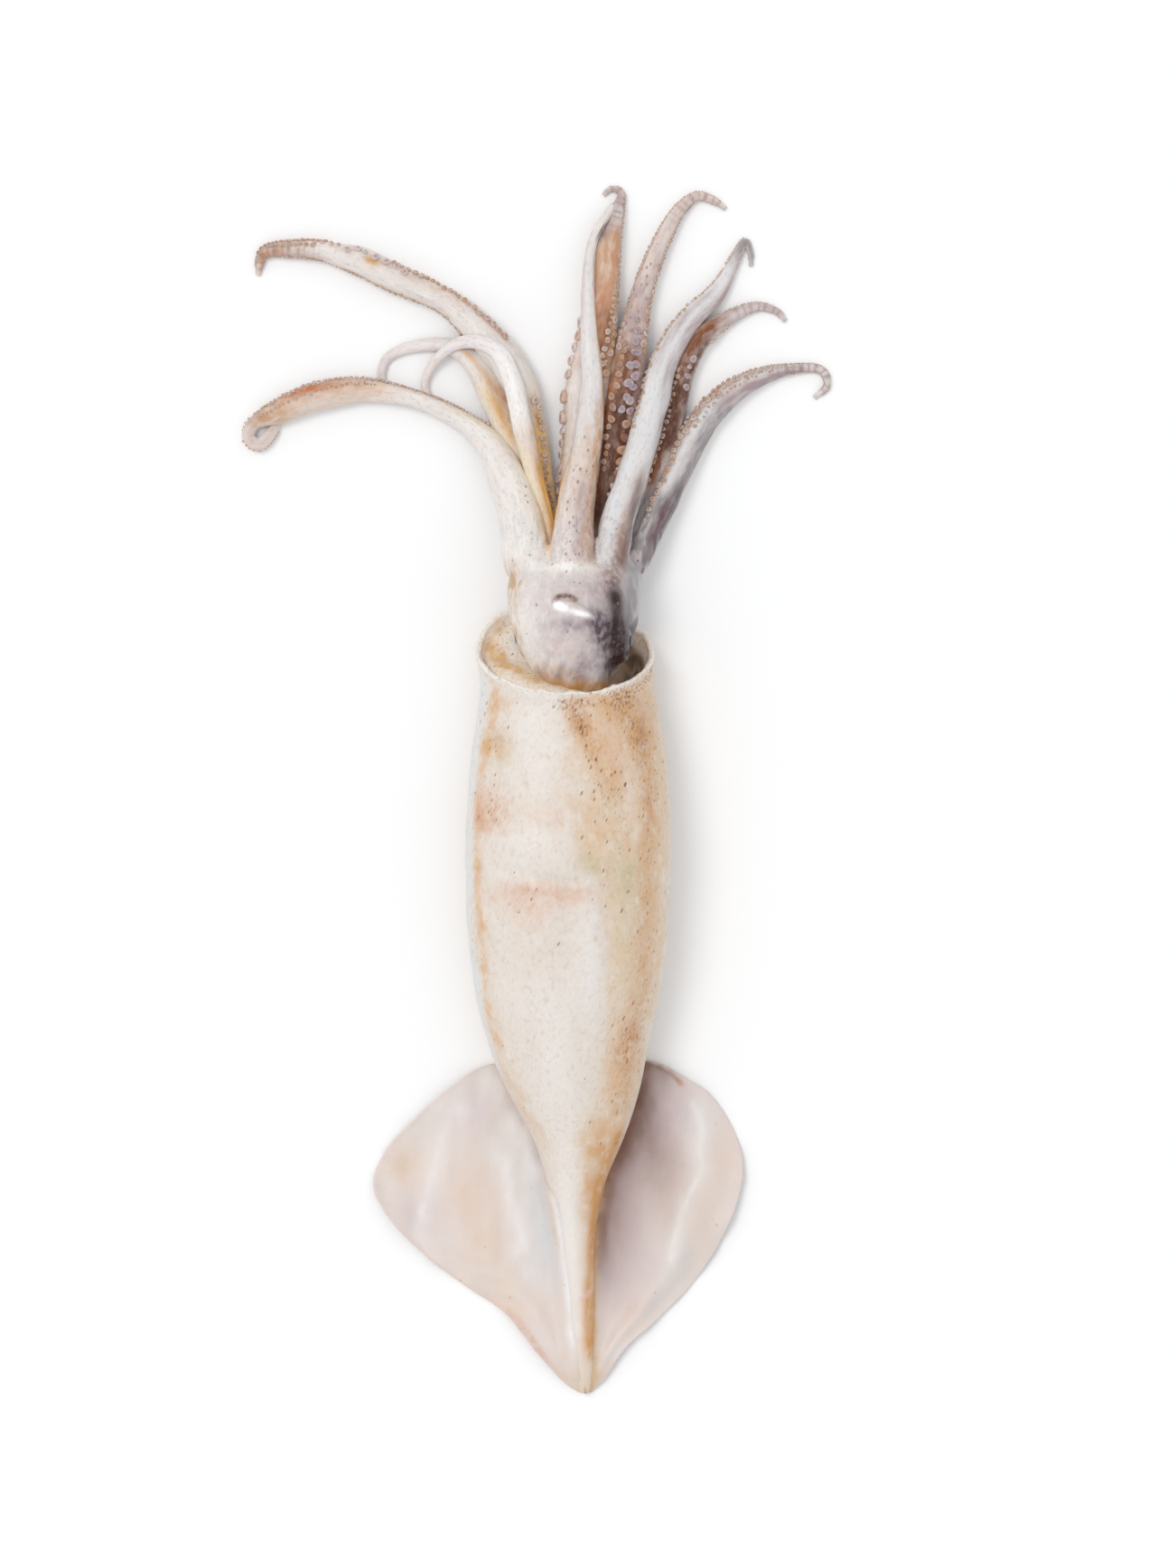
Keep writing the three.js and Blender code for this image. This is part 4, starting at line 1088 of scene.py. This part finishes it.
def fin_surface(edge, fold, seed, t, v):
    """The fin's x, y, lift and thickness for t along its edge and v out from the mantle's line."""
    rim, _ = curve_through([(x, y, 0) for x, y in edge])(t)
    root_y = edge[0][1] + (edge[-1][1] - edge[0][1]) * t
    root_x = mantle_at(root_y)[0]
    x = root_x + (rim[..., 0] - root_x) * v
    y = root_y + (rim[..., 1] - root_y) * v
    swell = np.sin(np.pi * t)
    lift = FIN_WAVE * v**3 * (0.5 - 0.5 * np.cos(6 * np.pi * t))
    lift = lift + fold["high"] * swell * bell(v, fold["at"], fold["wide"])
    flat = np.stack([x, y, 0 * x], -1)
    lift = lift + 0.30 * v * swell * (1 + ripple(flat * [1, 0.45, 1], 7, seed))
    lift = lift + 0.16 * v**2 * swell * (1 + ripple(flat * [0.5, 1, 1], 3.2, seed + 1))
    thick = FIN_ROOT + (FIN_EDGE - FIN_ROOT) * np.sqrt(v)
    thick = thick * (1 - 0.10 * (1 + ripple(flat * [1, 0.5, 1], 4, seed + 2)) / 2)
    middle, half, top = mantle_at(y)
    gap = np.abs(x - middle) - half
    blend = between(y, TAIL_Y, TAIL_Y + 4, -114, -104)
    root_top = top * (0.8 + 0.16 * smooth(y, -138, -148))
    fillet = fold["fillet"] * blend * smooth(gap, 3.4, -1.0)
    return x, y, lift, thick + fillet * np.maximum(root_top - thick - lift, 0)


def make_fin(name, edge, fold, side, seeds, skin, paint):
    """A fin as one closed skin, out over its top, round its edge and back under it."""
    rows, columns, turned = steps(210), steps(110), steps(8)
    t = np.linspace(0, 1, rows)[:, None]
    out = np.linspace(0, 1, columns)[None, :] ** 0.9
    x, y, lift, thick = fin_surface(edge, fold, seeds[0], t, out)
    top = np.stack([x, y, lift + thick], -1)
    under = np.stack([x, y, lift], -1)
    turn = np.linspace(0, np.pi, turned + 2)[1:-1]
    half = thick[:, -1:] / 2
    pull = np.stack([x[:, -1] - x[:, -2], y[:, -1] - y[:, -2]], -1)
    pull = pull / np.maximum(np.linalg.norm(pull, axis=1), 1e-6)[:, None]
    bulge = np.minimum(half, FIN_EDGE_BULGE) * np.sin(turn)[None, :]
    around_z = lift[:, -1:] + half + half * np.cos(turn)[None, :]
    around = np.stack([x[:, -1:] + pull[:, :1] * bulge, y[:, -1:] + pull[:, 1:] * bulge, around_z], -1)
    rings = above_floor(np.concatenate([top, around, under[:, ::-1]], axis=1))
    v = np.concatenate([out + 0 * t, np.ones((rows, turned)), (out + 0 * t)[:, ::-1]], axis=1)
    if side < 0:
        rings, v = rings[:, ::-1], v[:, ::-1]
    mesh = to_mesh(name, *tube(rings))
    middle, half, _ = mantle_at(rings[..., 1])
    gap = side * (rings[..., 0] - middle) - half
    veil = swayed(rings, 0.35 * ripple(rings, 12, seeds[1]))
    masks = paint(rings, veil, gap, v, t + 0 * v)
    masks |= {"rim": 0.5 * smooth(v, 0.94, 1), "specks": 0.03 + 0.1 * bell(gap, 0, 3)}
    return add_piece(name, mesh, skin, with_ends(masks))


def paint_left_fin(at, veil, gap, v, t):
    """Masks from the place, the place swayed, the gap to the mantle, v out and t along the fin."""
    y = at[..., 1]
    return {
        "white": lines(
            veil,
            # pale streaks along the fold, partly a painted highlight on its crest
            (0.35, [(-29.4, -103), (-31, -109), (-32.8, -116)], 0.9),
            (0.35, [(-26, -94), (-29.5, -106), (-33.5, -121)], 2.4),
            (0.35, [(-15.4, -104), (-13, -114), (-10.5, -124)], 1.6),
            (0.4, [(-15, -98), (-12.5, -114), (-9, -130)], 3.6),
            # painted light: a pale band beside the mantle's edge that takes away its shade there
            (0.5, [(-17, -85), (-12, -96), (-7, -106)], 2.6),
        )
        + 0.9 * bell(gap, -0.6, 1.1) * between(y, -151, -142, -116, -108)
        + 0.4 * spot(at, -27, -90, 8, 5),
        "peach": spots(at, [(0.9, -20, -116, 8, 14), (0.7, -12, -136, 8, 7), (0.5, -37, -106, 5, 6)]),
        "mauve": spots(at, [(0.45, -21, -93, 8, 6), (0.5, -34, -116, 6, 5)]),
        # painted shade: grey beside the mantle, where it shades the fin
        "grey": 0.7 * bell(gap, 3, 5) * between(y, -140, -124, -106, -96),
        # painted shade of the mantle on the fin's root
        "dusk": 0.3 * bell(gap, 0, 2.0) * smooth(y, -116, -106),
        "tan": spots(at, [(0.3, -37.5, -105, 3.5, 4.5), (0.4, 1, -153, 5, 6)])
        + 0.5 * along(veil, [(-5, -104), (-3.4, -116), (-1.6, -126)], 0.9),
        "rust": 0.6 * smooth(v, 0.80, 0.97) * bell(t, 0.80, 0.09)
        + 0.25 * smooth(v, 0.97, 1) * smooth(t, 0.4, 0.6),
    }


def paint_right_fin(at, veil, gap, v, t):
    """The same for the right fin."""
    y = at[..., 1]
    ridge = [(27.8, -92), (29.4, -99), (29.6, -106), (26.8, -111), (24.8, -118), (22.6, -126)]
    return {
        # pale streaks along the ridge of the fold, partly a painted highlight on its crest
        "white": lines(veil, (0.35, ridge, 0.8), (0.3, ridge, 2.6)),
        "peach": 0.9 * spot(at, 29.5, -118, 3.2, 9, -14)
        + 0.5 * spots(at, [(1, 22, -112, 5, 10), (1, 34, -104, 4, 8), (1, 14, -138, 6, 6)]),
        # painted shade: mauve falling off with distance from the mantle; the spot is the fin's own mauve
        "mauve": 0.75 * bell(gap, 4, 8) * smooth(y, -146, -126) + 0.4 * spot(at, 22, -94, 7, 6),
        "grey": 0.35 * spot(at, 24, -122, 5, 10),
        # painted shade beside the mantle, wide, where it shades the fin
        "dusk": 0.9 * bell(gap, 0, 7.0) * smooth(y, -142, -118) + 0.45 * spot(at, 20, -106, 7, 12),
        "tan": 0.9 * bell(gap, -0.3, 1.1) * smooth(y, -100, -112) + 0.4 * spot(at, 5, -153, 4, 6),
        # painted shadow in a line along the mantle's side, then a brown mark along the upper edge
        "brown": 0.75 * bell(gap, 0.3, 1.6) * smooth(y, -138, -112)
        + 0.7 * along(veil, [(19.6, -83.6), (23, -85.2), (25, -87)], 0.7),
        "rust": 0.6 * spot(at, 25.2, -87.2, 0.9, 0.9) + 0.7 * smooth(v, 0.90, 0.99) * smooth(t, 0.84, 0.94),
    }


# ---------------------------------------------------------------- arms and suckers

ARM_SAMPLES = 2001  # how many points measure an arm's length
ARM_ROWS = 2.4  # rings for each millimetre of an arm
ARM_SIDES = 48
ARM_SPECKS = 0.35  # how strong the fine strokes on an arm are
ARM_BANDS = 1.7  # from one dark band to the next on the tips
PAINT_SOFT = 0.04  # how softly a colour begins and ends along an arm, at most
PLEATS = 1.5  # from one pleat beside the suckers to the next


class Arm:
    """An arm's middle line, its skin and the frame round it, by share of its length."""

    def __init__(self, name):
        self.name = name
        spec = ARMS[name]
        route = spec["route"]
        self.oral = math.radians(spec["oral"])
        self.rows = spec["suckers"]
        self.paints = spec["paint"]
        self.line = curve_through([(x, y, lift + ARM_HEIGHT * width / 2) for x, y, width, lift in route])
        last = len(route) - 1
        self.width_at = curves_of([(i / last, width) for i, (_, _, width, _) in enumerate(route)])
        t = np.linspace(0, 1, ARM_SAMPLES)
        points, _ = self.line(t)
        run = np.concatenate([[0], np.cumsum(np.linalg.norm(np.diff(points, axis=0), axis=1))])
        self.length = run[-1]
        self.t_at = lambda share: np.interp(share, run / run[-1], t)

    def frame(self, share):
        """The middle, the directions to the right and up, and the width at a share."""
        t = self.t_at(share)
        place, ahead = self.line(t)
        ahead = unit(ahead)
        right = unit(np.stack([ahead[..., 1], -ahead[..., 0], 0 * ahead[..., 0]], -1))
        return place, right, np.cross(right, ahead), self.width_at(t)[0]

    def skin(self, share, angle, swell=1.0):
        """Points on the skin, and the directions out of it."""
        place, right, up, width = self.frame(share)
        c, s = np.cos(angle)[..., None], np.sin(angle)[..., None]
        points = place + (right * c + up * s * ARM_HEIGHT) * (width / 2 * swell)[..., None]
        return points, unit(right * c * ARM_HEIGHT + up * s)


def wrapped(angle):
    """The same angle from -pi to pi."""
    return (angle + np.pi) % (2 * np.pi) - np.pi


def arm_masks(arm, share, angle):
    """An arm's colours by share of its length and angle round it."""
    masks = {name: np.zeros(share.shape) for name in [*ARM_COLOURS, "dots"]}
    for name, middle, spread, start, end, amount in arm.paints:
        off = wrapped(angle - math.radians(middle))
        soft = min(PAINT_SOFT, (end - start) / 3)
        here = amount * bell(off, 0, math.radians(spread))
        here = here * between(share, start - soft, start + soft, end - soft, end + soft)
        if name == "bands":
            run = share * arm.length
            here = here * smooth(np.sin(2 * np.pi * run / ARM_BANDS + np.sin(1.7 * run)), -0.2, 0.9)
        masks[name] = np.maximum(masks[name], here)
    masks["specks"] = np.full(share.shape, ARM_SPECKS)
    return masks


def make_arm(arm, seed, skin):
    rows, sides = steps(arm.length * ARM_ROWS), max(steps(ARM_SIDES), 32)
    share = np.linspace(0, 1, rows)[:, None] + np.zeros((1, sides))
    angle = circle(sides) + np.zeros((rows, 1))
    width = arm.width_at(arm.t_at(share))[0]
    run = share * arm.length
    straight = np.stack([np.cos(angle) * width / 2, run, np.sin(angle) * width / 2], -1)

    # The side with the suckers is a trough between two webs, and the other side has a keel.
    oral = wrapped(angle - arm.oral)
    trough = -0.07 * bell(oral, 0, 0.42)
    webs = 0.03 * (bell(oral, 1.15, 0.26) + bell(oral, -1.15, 0.26))
    keel = 0.035 * bell(np.abs(oral), np.pi, 0.4)
    pleats = 0.022 * np.sin(run * 2 * np.pi / PLEATS + 2 * np.sin(run)) * bell(np.abs(oral), 1.2, 0.5)
    lumps = 0.028 * ripple(straight * [1, 0.4, 1], 3.4, seed)
    wrinkles = 0.014 * ripple(straight * [1, 0.25, 1], 1.5, seed + 1)
    free = smooth(share, 0.12, 0.3)
    rings, _ = arm.skin(share, angle, 0.985 + free * (trough + webs + keel + pleats) + lumps + wrinkles)
    mesh = to_mesh("arm_" + arm.name, *tube(above_floor(rings)))

    # The skin's pattern runs along the straightened arm, and starts elsewhere on each.
    place = straight.reshape(-1, 3)
    place = np.vstack([place, place[:1], place[-1:]]) + [40.0 * seed, 0, 0]
    return add_piece(mesh.name, mesh, skin, with_ends(arm_masks(arm, share, angle)), place)


# A sucker's outline from its foot over the rim into the cup: radius and height for a radius of 1,
# and how dark the cup is there.
SUCKER = np.array([
    (0.80, -0.60, 0), (0.94, -0.15, 0), (1.00, 0.12, 0), (0.97, 0.30, 0), (0.86, 0.43, 0),
    (0.70, 0.49, 0.1), (0.52, 0.47, 0.4), (0.34, 0.40, 0.8), (0.15, 0.36, 0.9),
])
SUCKER_ENDS = [0, 0.8]  # how dark the middles of its foot and its cup are
SUCKER_LEAST = 0.2  # the smallest radius
SUCKER_SIZES = (0.78, 1.18)  # the least and the greatest share of a row's size and of its gap
SUCKER_GAPS = (0.88, 1.18)
SUCKER_STRAY = 4.5  # how far one is off its row, in degrees, and how far it leans
SUCKER_LEAN = 0.16


def sucker_rings(place, out, radius, rng):
    """A sucker's rings: it leans a little, and it is not quite round."""
    out = unit(out + rng.normal(0, SUCKER_LEAN, 3))
    side = unit(np.cross(out, [0.1, 0.2, 1.0]))
    front = np.cross(out, side)
    turn = np.linspace(0, 2 * np.pi, 14 if radius > 0.45 else 9, endpoint=False)
    uneven = 1 + 0.10 * np.sin(2 * turn + rng.uniform(0, 6)) + 0.07 * np.sin(3 * turn + rng.uniform(0, 6))
    ring = (np.cos(turn)[:, None] * side + np.sin(turn)[:, None] * front) * uneven[:, None]
    return place + radius * (SUCKER[:, 0, None, None] * ring + SUCKER[:, 1, None, None] * out)


def make_suckers(arm, seed, skin):
    """All of an arm's suckers as one mesh of small rings with cups."""
    rng = np.random.default_rng(seed)
    every, faces, cups, tones, deep = [], [], [], [], []
    total = 0
    for start_angle, end_angle, start, end, size, gap, tone in arm.rows:
        share = start
        while share < end:
            width = float(arm.width_at(arm.t_at(share))[0])
            radius = max(size * width, SUCKER_LEAST) * rng.uniform(*SUCKER_SIZES)
            step = (share - start) / (end - start)
            angle = start_angle + (end_angle - start_angle) * step + rng.normal(0, SUCKER_STRAY)
            place, out = arm.skin(np.array(share), np.array(math.radians(angle)))
            share += gap * radius * rng.uniform(*SUCKER_GAPS) / arm.length
            if place[2] < radius * 0.6:  # it would reach under the surface
                continue
            rings = sucker_rings(place, out, radius, rng)
            points, found = tube(rings)
            every.append(points)
            faces += [[total + i for i in face] for face in found]
            total += len(points)
            cups.append(np.append(np.repeat(SUCKER[:, 2], rings.shape[1]), SUCKER_ENDS))
            tones.append(np.full(len(points), tone + rng.uniform(-0.3, 0.3)))
            deep.append(np.full(len(points), 4 * max(tone - 0.8, 0) * rng.uniform(0, 1)))
    mesh = to_mesh("suckers_" + arm.name, above_floor(np.vstack(every)), faces)
    tones = np.concatenate(tones)
    masks = {"cup": np.concatenate(cups), "warm": tones, "lilac": -tones, "deep": np.concatenate(deep)}
    return add_piece(mesh.name, mesh, skin, masks)


# ---------------------------------------------------------------- head, funnel and eyes

EYES = {  # middle, radius, the way it looks, how wide it opens, in degrees
    "eye_right": {"at": (8.4, 11.2, 14.6), "radius": 6.0, "look": (0.97, -0.05, 0.14), "open": 38},
    "eye_left": {"at": (-6.4, 12.5, 9.0), "radius": 6.0, "look": (-0.98, -0.05, 0.02), "open": 40},
}
EYE_BED = 0.8  # how deep the skin goes in under an eye
EYE_LID = 0.35  # how far the skin stands up round it
HEAD_VOXEL = 0.42
HEAD_ROUNDS = 9  # how often the head's creases are softened
STUBS = {  # the arms whose bases are part of the head, and the y where each base ends
    "front_left": 44,
    "middle_front": 46,
    "front_right": 46,
    "right_edge": 42,
    "right_behind": 40,
    "long_left": 38,
}
EYE_SHELL = 1.02  # the head's skin over an eye, as a share of the ball's radius
EYE_SHOWN = 80  # how many degrees of a ball are built, from its middle
EYE_IN = 0.42  # how far a ball stays inside its radius
PUPIL = 16  # where the pupil ends, in degrees from its middle
MOUTH_X = 0.6  # the middle of the funnel's mouth
MOUTH_Y = 19.6
MOUTH_HALF = 4.6  # half its width
WEB_Y = 26.5  # where a web of skin joins the arms' bases
PUCKER_Y = 9  # where the puckers of the neck begin
STUB_SAMPLES = np.linspace(0, 1, 400)
STUB_SHARES = np.linspace(0, 0.4, 120)  # the shares of an arm that lend the head their colours
# Soft spots of colour: their strength, x, y, reach in x and in y, and turn.
HEAD_SPOTS = {
    "pale": [
        (1.0, -12, 12, 6, 13), (0.4, -3, 6, 5, 5), (1.0, -8, 6.4, 3.2, 2.4), (0.9, 0.6, 27.4, 7, 1.3),
        (0.6, 7.4, 8.6, 0.7, 4.0),
    ],
    "pink": [(0.8, -1, 9, 7, 6), (0.5, -3, 20, 8, 4), (0.5, 5, 23, 6, 3)],
    # the first lilac spot is painted shadow under the funnel's lip
    "lilac": [(0.8, 0.4, 14.2, 5.5, 1.7), (0.7, 6, 5.4, 4, 4), (0.5, 6.4, 21, 4, 4), (0.4, -2, 3, 5, 2)],
    "edge": [(0.8, -12.4, 24, 2.2, 4), (0.5, -12, 12, 1.5, 6), (0.5, -3, 3, 6, 2.4), (0.4, -6, 1, 4, 3)],
    "marks": [(0.5, 9, 24, 2.5, 5), (0.5, 11.6, 31, 2.2, 6)],
    "plum": [
        (1.0, 6.6, 15.6, 2.6, 2.2), (1.0, 7.6, 11.8, 2.6, 3.0), (0.7, 10.2, 21.5, 1.8, 4.0),
        (0.8, 8.4, 6.0, 1.6, 3.0),
    ],
    "black": [(0.8, 10.4, 10.6, 2.6, 4.6)],
    # the painted highlight on the funnel's lip, in two parts
    "lip": [(1.8, -2.0, 18.5, 1.5, 0.8, -20), (1.4, 2.6, 16.9, 2.2, 0.6, -14)],
    "specks": [(0.4, 6, 6, 6, 5), (0.5, 0, 32, 8, 5), (0.4, 12, 36, 4, 6)],
}
MARKS_LINE = [(-3.4, 19.2), (-2.4, 20.6), (-0.2, 21.0), (1.4, 20.0)]
SILVER_LINE = [(14.2, 27), (13.8, 17), (13.0, 10), (12.4, 7)]
BLACK_LINE = [(10.4, 20.5), (10.9, 16.5), (11.3, 11), (11.0, 6.4)]


def trunk(sections, squareness, rows, sides):
    """A closed skin over sections across Y."""
    y = np.linspace(sections[0][0], sections[-1][0], rows)[:, None]
    angle = circle(sides)
    middle, half, under, top = curves_of(sections)(y)
    x = middle + half * power(np.cos(angle), 2 / squareness)
    z = (under + top) / 2 + (top - under) / 2 * power(np.sin(angle), 2 / squareness)
    return tube(np.stack(np.broadcast_arrays(x, y, z), -1))


def ball(at, radius, rows=24, sides=32):
    """A closed skin round a middle."""
    around = circle(sides)
    down = np.linspace(0.02, np.pi - 0.02, rows)[:, None]
    level = np.sin(down)
    ray = [level * np.cos(around), -level * np.sin(around), np.cos(down) + 0 * around]
    return tube(np.array(at) + radius * np.stack(ray, -1))


def stub(arm, until, rows=40, sides=28):
    """An arm's base, a little wider than the arm at the head and narrower where it ends."""
    ys = arm.line(arm.t_at(STUB_SAMPLES))[0][:, 1]
    end = STUB_SAMPLES[np.argmax(ys > until)]
    share = np.linspace(0, end, rows)[:, None] + np.zeros((1, sides))
    swell = 1.05 - 0.15 * smooth(share / end, 0.35, 1.0)
    return tube(arm.skin(share, circle(sides) + 0 * share, swell)[0])


def stub_masks(arms, points):
    """The arms' colours on the stubs: those of the arm that is nearest to each point."""
    nearest = np.full(len(points), np.inf)
    masks = {}
    for name in STUBS:
        arm = arms[name]
        place, right, up, width = arm.frame(STUB_SHARES)
        offset = points[:, None, :] - place[None]
        reach = np.linalg.norm(offset, axis=2) / width
        best = reach.argmin(1)
        off = offset[np.arange(len(points)), best]
        angle = np.arctan2((off * up[best]).sum(1) / ARM_HEIGHT, (off * right[best]).sum(1))
        closer = reach.min(1) < nearest
        nearest = np.minimum(nearest, reach.min(1))
        for key, values in arm_masks(arm, STUB_SHARES[best], angle).items():
            masks[key] = np.where(closer, values, masks.get(key, 0))
    on_arm = smooth(points[:, 1], 25.0, 29.5)
    masks = {key: values * on_arm for key, values in masks.items()}
    masks["arm"] = on_arm
    return masks


def sink_eyes(points):
    """Sinks the skin under the eyes and raises it round them.

    Gives the moved points, and how near each is to the rim of an eye's opening.
    """
    around_eye = np.zeros(len(points))
    for eye in EYES.values():
        middle, radius, opening = np.array(eye["at"]), eye["radius"], eye["open"]
        ray = points - middle
        reach = np.linalg.norm(ray, axis=1)
        ray = ray / reach[:, None]
        off = np.degrees(np.arccos(np.clip(ray @ unit(np.array(eye["look"])), -1, 1)))
        bed = smooth(off, opening + 3, opening - 3)
        near = smooth(reach, radius + 4, radius + 2)
        goal = reach + EYE_LID * bell(off, opening + 7, 6) * near
        goal = goal + (np.minimum(radius - EYE_BED, reach) - goal) * bed * near
        points = middle + ray * goal[:, None]
        around_eye = np.maximum(around_eye, bell(off, opening, 16) * near)
    return points, around_eye


def make_head(arms, skin):
    """The head with its neck, the funnel and the arms' bases, under one skin."""
    shells = [
        trunk(HEAD, HEAD_SQUARENESS, rows=60, sides=48),
        trunk(FUNNEL, FUNNEL_SQUARENESS, rows=40, sides=40),
    ]
    shells += [ball(eye["at"], eye["radius"] * EYE_SHELL) for eye in EYES.values()]
    shells += [stub(arms[name], until) for name, until in STUBS.items()]
    mesh = fuse("head", shells, HEAD_VOXEL, HEAD_ROUNDS)
    points, normals = points_of(mesh), normals_of(mesh)
    x, y = points[:, 0], points[:, 1]
    up = smooth(normals[:, 2], -0.1, 0.4)

    # The funnel's mouth is a slit under the head's skin, and its lip stands up in front of it.
    bow = (x - MOUTH_X) / MOUTH_HALF
    mouth_y = MOUTH_Y - 1.5 * bow - 0.9 * bow**2
    lift = bell(bow, 0, 0.95) * up * (0.4 * bell(y, mouth_y - 1.2, 1.0) - 0.7 * bell(y, mouth_y + 0.7, 0.6))
    # A web of skin joins the arms' bases, and the neck is puckered.
    web_y = WEB_Y + 0.25 * np.sin(x * 0.9)
    lift = lift + 0.35 * up * bell(y, web_y, 1.1) * between(x, -8, -5, 8, 12)
    folds = x * 1.25 + 0.8 * np.sin(y * 0.6) + 1.3 * np.sin(x * 0.42 + 1)
    pucker = np.sin(folds) * smooth(y, PUCKER_Y + 2 * np.sin(x * 0.8), 4) * up
    lift = lift + 0.4 * pucker
    lift = lift + 0.12 * ripple(points, 4.5, 61) + 0.06 * ripple(points * [1, 0.6, 1], 1.8, 62)
    points, around_eye = sink_eyes(points + normals * lift[:, None])
    move_points(mesh, above_floor(points))

    on = {name: spots(points, rows) for name, rows in HEAD_SPOTS.items()}
    masks = stub_masks(arms, points)
    masks |= {
        "pale": up * on["pale"],
        "pink": on["pink"],
        # lilac spots, and painted shade in the troughs of the puckers
        "lilac": on["lilac"] + 0.5 * np.maximum(-pucker, 0),
        "edge": on["edge"] + 0.4 * (1 - up) * smooth(y, 20, 8),
        "marks": up * (1.3 * along(points, MARKS_LINE, 0.5) + on["marks"]),
        # orange-brown at the neck's bottom, in the opening, partly painted shade
        "root": smooth(y, 3.0, 1.0) * (x < 14),
        "silver": 0.95 * along(points, SILVER_LINE, 1.8) * smooth(x, 11.4, 12.4),
        "plum": up * on["plum"],
        "black": up * (along(points, BLACK_LINE, 1.8) + on["black"])
        + 0.6 * around_eye * (x > 0) * (1 - up),
        # painted highlight on the funnel's lip
        "lip": up * on["lip"],
        "specks": 0.3 + on["specks"],
    }
    return add_piece("head", mesh, skin, masks)


def make_eye(name, skin):
    """A wet eyeball: a bulging pupil, a ringed iris and a pale rim that goes under the lid."""
    eye = EYES[name]
    down = np.linspace(0.01, math.radians(EYE_SHOWN), steps(48))[:, None]
    around = circle(steps(64))
    look = unit(np.array(eye["look"]))
    side = unit(np.cross([0, 1.0, 0], look))
    front = np.cross(look, side)
    degrees = np.degrees(down) + 0 * around
    pupil = smooth(degrees, PUPIL + 1, PUPIL - 1)
    reach = eye["radius"] - EYE_IN + 0.16 * pupil - 0.10 * bell(degrees, PUPIL + 2, 2.5)
    reach = reach - 0.03 * np.sin(around * 34) * bell(degrees, 25, 7)
    across = np.cos(around)[..., None] * side + np.sin(around)[..., None] * front
    ray = np.cos(down)[..., None] * look + np.sin(down)[..., None] * across
    rings = np.array(eye["at"]) + reach[..., None] * ray
    mesh = to_mesh(name, *tube(rings[::-1]))
    iris = between(degrees, PUPIL, PUPIL + 3, 30, 36)
    masks = {"pupil": pupil, "iris": iris, "rim": smooth(degrees, 34, 44)}
    masks = with_ends({key: values[::-1] for key, values in masks.items()})
    masks["pupil"][-1] = 1
    return add_piece(name, mesh, skin, masks)


# ---------------------------------------------------------------- the squid

make_mantle(mantle_skin())
fin_look = fin_skin()
make_fin("fin_left", LEFT_FIN, LEFT_FIN_FOLD, -1, (11, 41), fin_look, paint_left_fin)
make_fin("fin_right", RIGHT_FIN, RIGHT_FIN_FOLD, 1, (21, 42), fin_look, paint_right_fin)
arms = {name: Arm(name) for name in ARMS}
make_head(arms, head_skin())
eye_look = eye_skin()
for name in EYES:
    make_eye(name, eye_look)
arm_look, sucker_look = arm_skin(), sucker_skin()
for number, arm in enumerate(arms.values()):
    make_arm(arm, 100 + number, arm_look)
    make_suckers(arm, 200 + number, sucker_look)

# ---------------------------------------------------------------- floor, light and camera

FLOOR_REACH = 3.0  # in metres
FLOOR_COLOUR = (0.93, 0.93, 0.93, 1)
FLOOR_ROUGHNESS = 0.9
WORLD_COLOUR = (0.97, 0.985, 1.0, 1)
WORLD_STRENGTH = 0.88
KEY_COLOUR = (1.0, 0.98, 0.955)
KEY_STRENGTH = 0.86
KEY_SOFTNESS = 26  # the sun's width in degrees
KEY_FROM = (150, 63)  # the sun's azimuth from +X and its elevation, in degrees
PHOTO = (1302, 1736)  # the picture's width and height in pixels
PHOTO_MM = 0.2  # a pixel's size on the squid's own level
PHOTO_ORIGIN = (630, 765)  # the pixel of x = 0, y = 0
FOCUS_Z = 12.0  # that level
LENS = 180
SENSOR = 36
FARTHEST = 20  # how far the camera sees, in metres


def make_floor():
    mesh = bpy.data.meshes.new("floor")
    corners = [(-1, -1), (1, -1), (1, 1), (-1, 1)]
    mesh.from_pydata([(FLOOR_REACH * x, FLOOR_REACH * y, 0) for x, y in corners], [], [(0, 1, 2, 3)])
    material = bpy.data.materials.new("floor")
    material.use_nodes = True
    shader = material.node_tree.nodes["Principled BSDF"]
    shader.inputs["Base Color"].default_value = FLOOR_COLOUR
    shader.inputs["Roughness"].default_value = FLOOR_ROUGHNESS
    mesh.materials.append(material)
    show("floor", mesh)


def make_light():
    world = bpy.data.worlds.new("studio")
    world.use_nodes = True
    background = world.node_tree.nodes["Background"]
    background.inputs["Color"].default_value = WORLD_COLOUR
    background.inputs["Strength"].default_value = WORLD_STRENGTH
    bpy.context.scene.world = world
    key = bpy.data.lights.new("key", "SUN")
    key.color = KEY_COLOUR
    key.energy = KEY_STRENGTH
    key.angle = math.radians(KEY_SOFTNESS)
    light = show("key", key)
    azimuth, elevation = (math.radians(a) for a in KEY_FROM)
    level = math.cos(elevation)
    way = Vector((level * math.cos(azimuth), level * math.sin(azimuth), math.sin(elevation)))
    light.location = way
    light.rotation_euler = way.to_track_quat("Z", "Y").to_euler()


def make_camera():
    """Looks straight down, with +Y up the picture, from far enough to be nearly square-on."""
    view = bpy.data.cameras.new("camera")
    view.lens = LENS
    view.sensor_width = SENSOR
    view.clip_end = FARTHEST
    height = PHOTO[1] * PHOTO_MM * LENS / SENSOR
    x = (PHOTO[0] / 2 - PHOTO_ORIGIN[0]) * PHOTO_MM - SHIFT[0]
    y = (PHOTO_ORIGIN[1] - PHOTO[1] / 2) * PHOTO_MM - SHIFT[1]
    camera = show("camera", view)
    camera.location = (x * MM, y * MM, (height + FOCUS_Z) * MM)
    bpy.context.scene.camera = camera


make_floor()
make_light()
make_camera()
bpy.context.scene.view_settings.view_transform = "Standard"
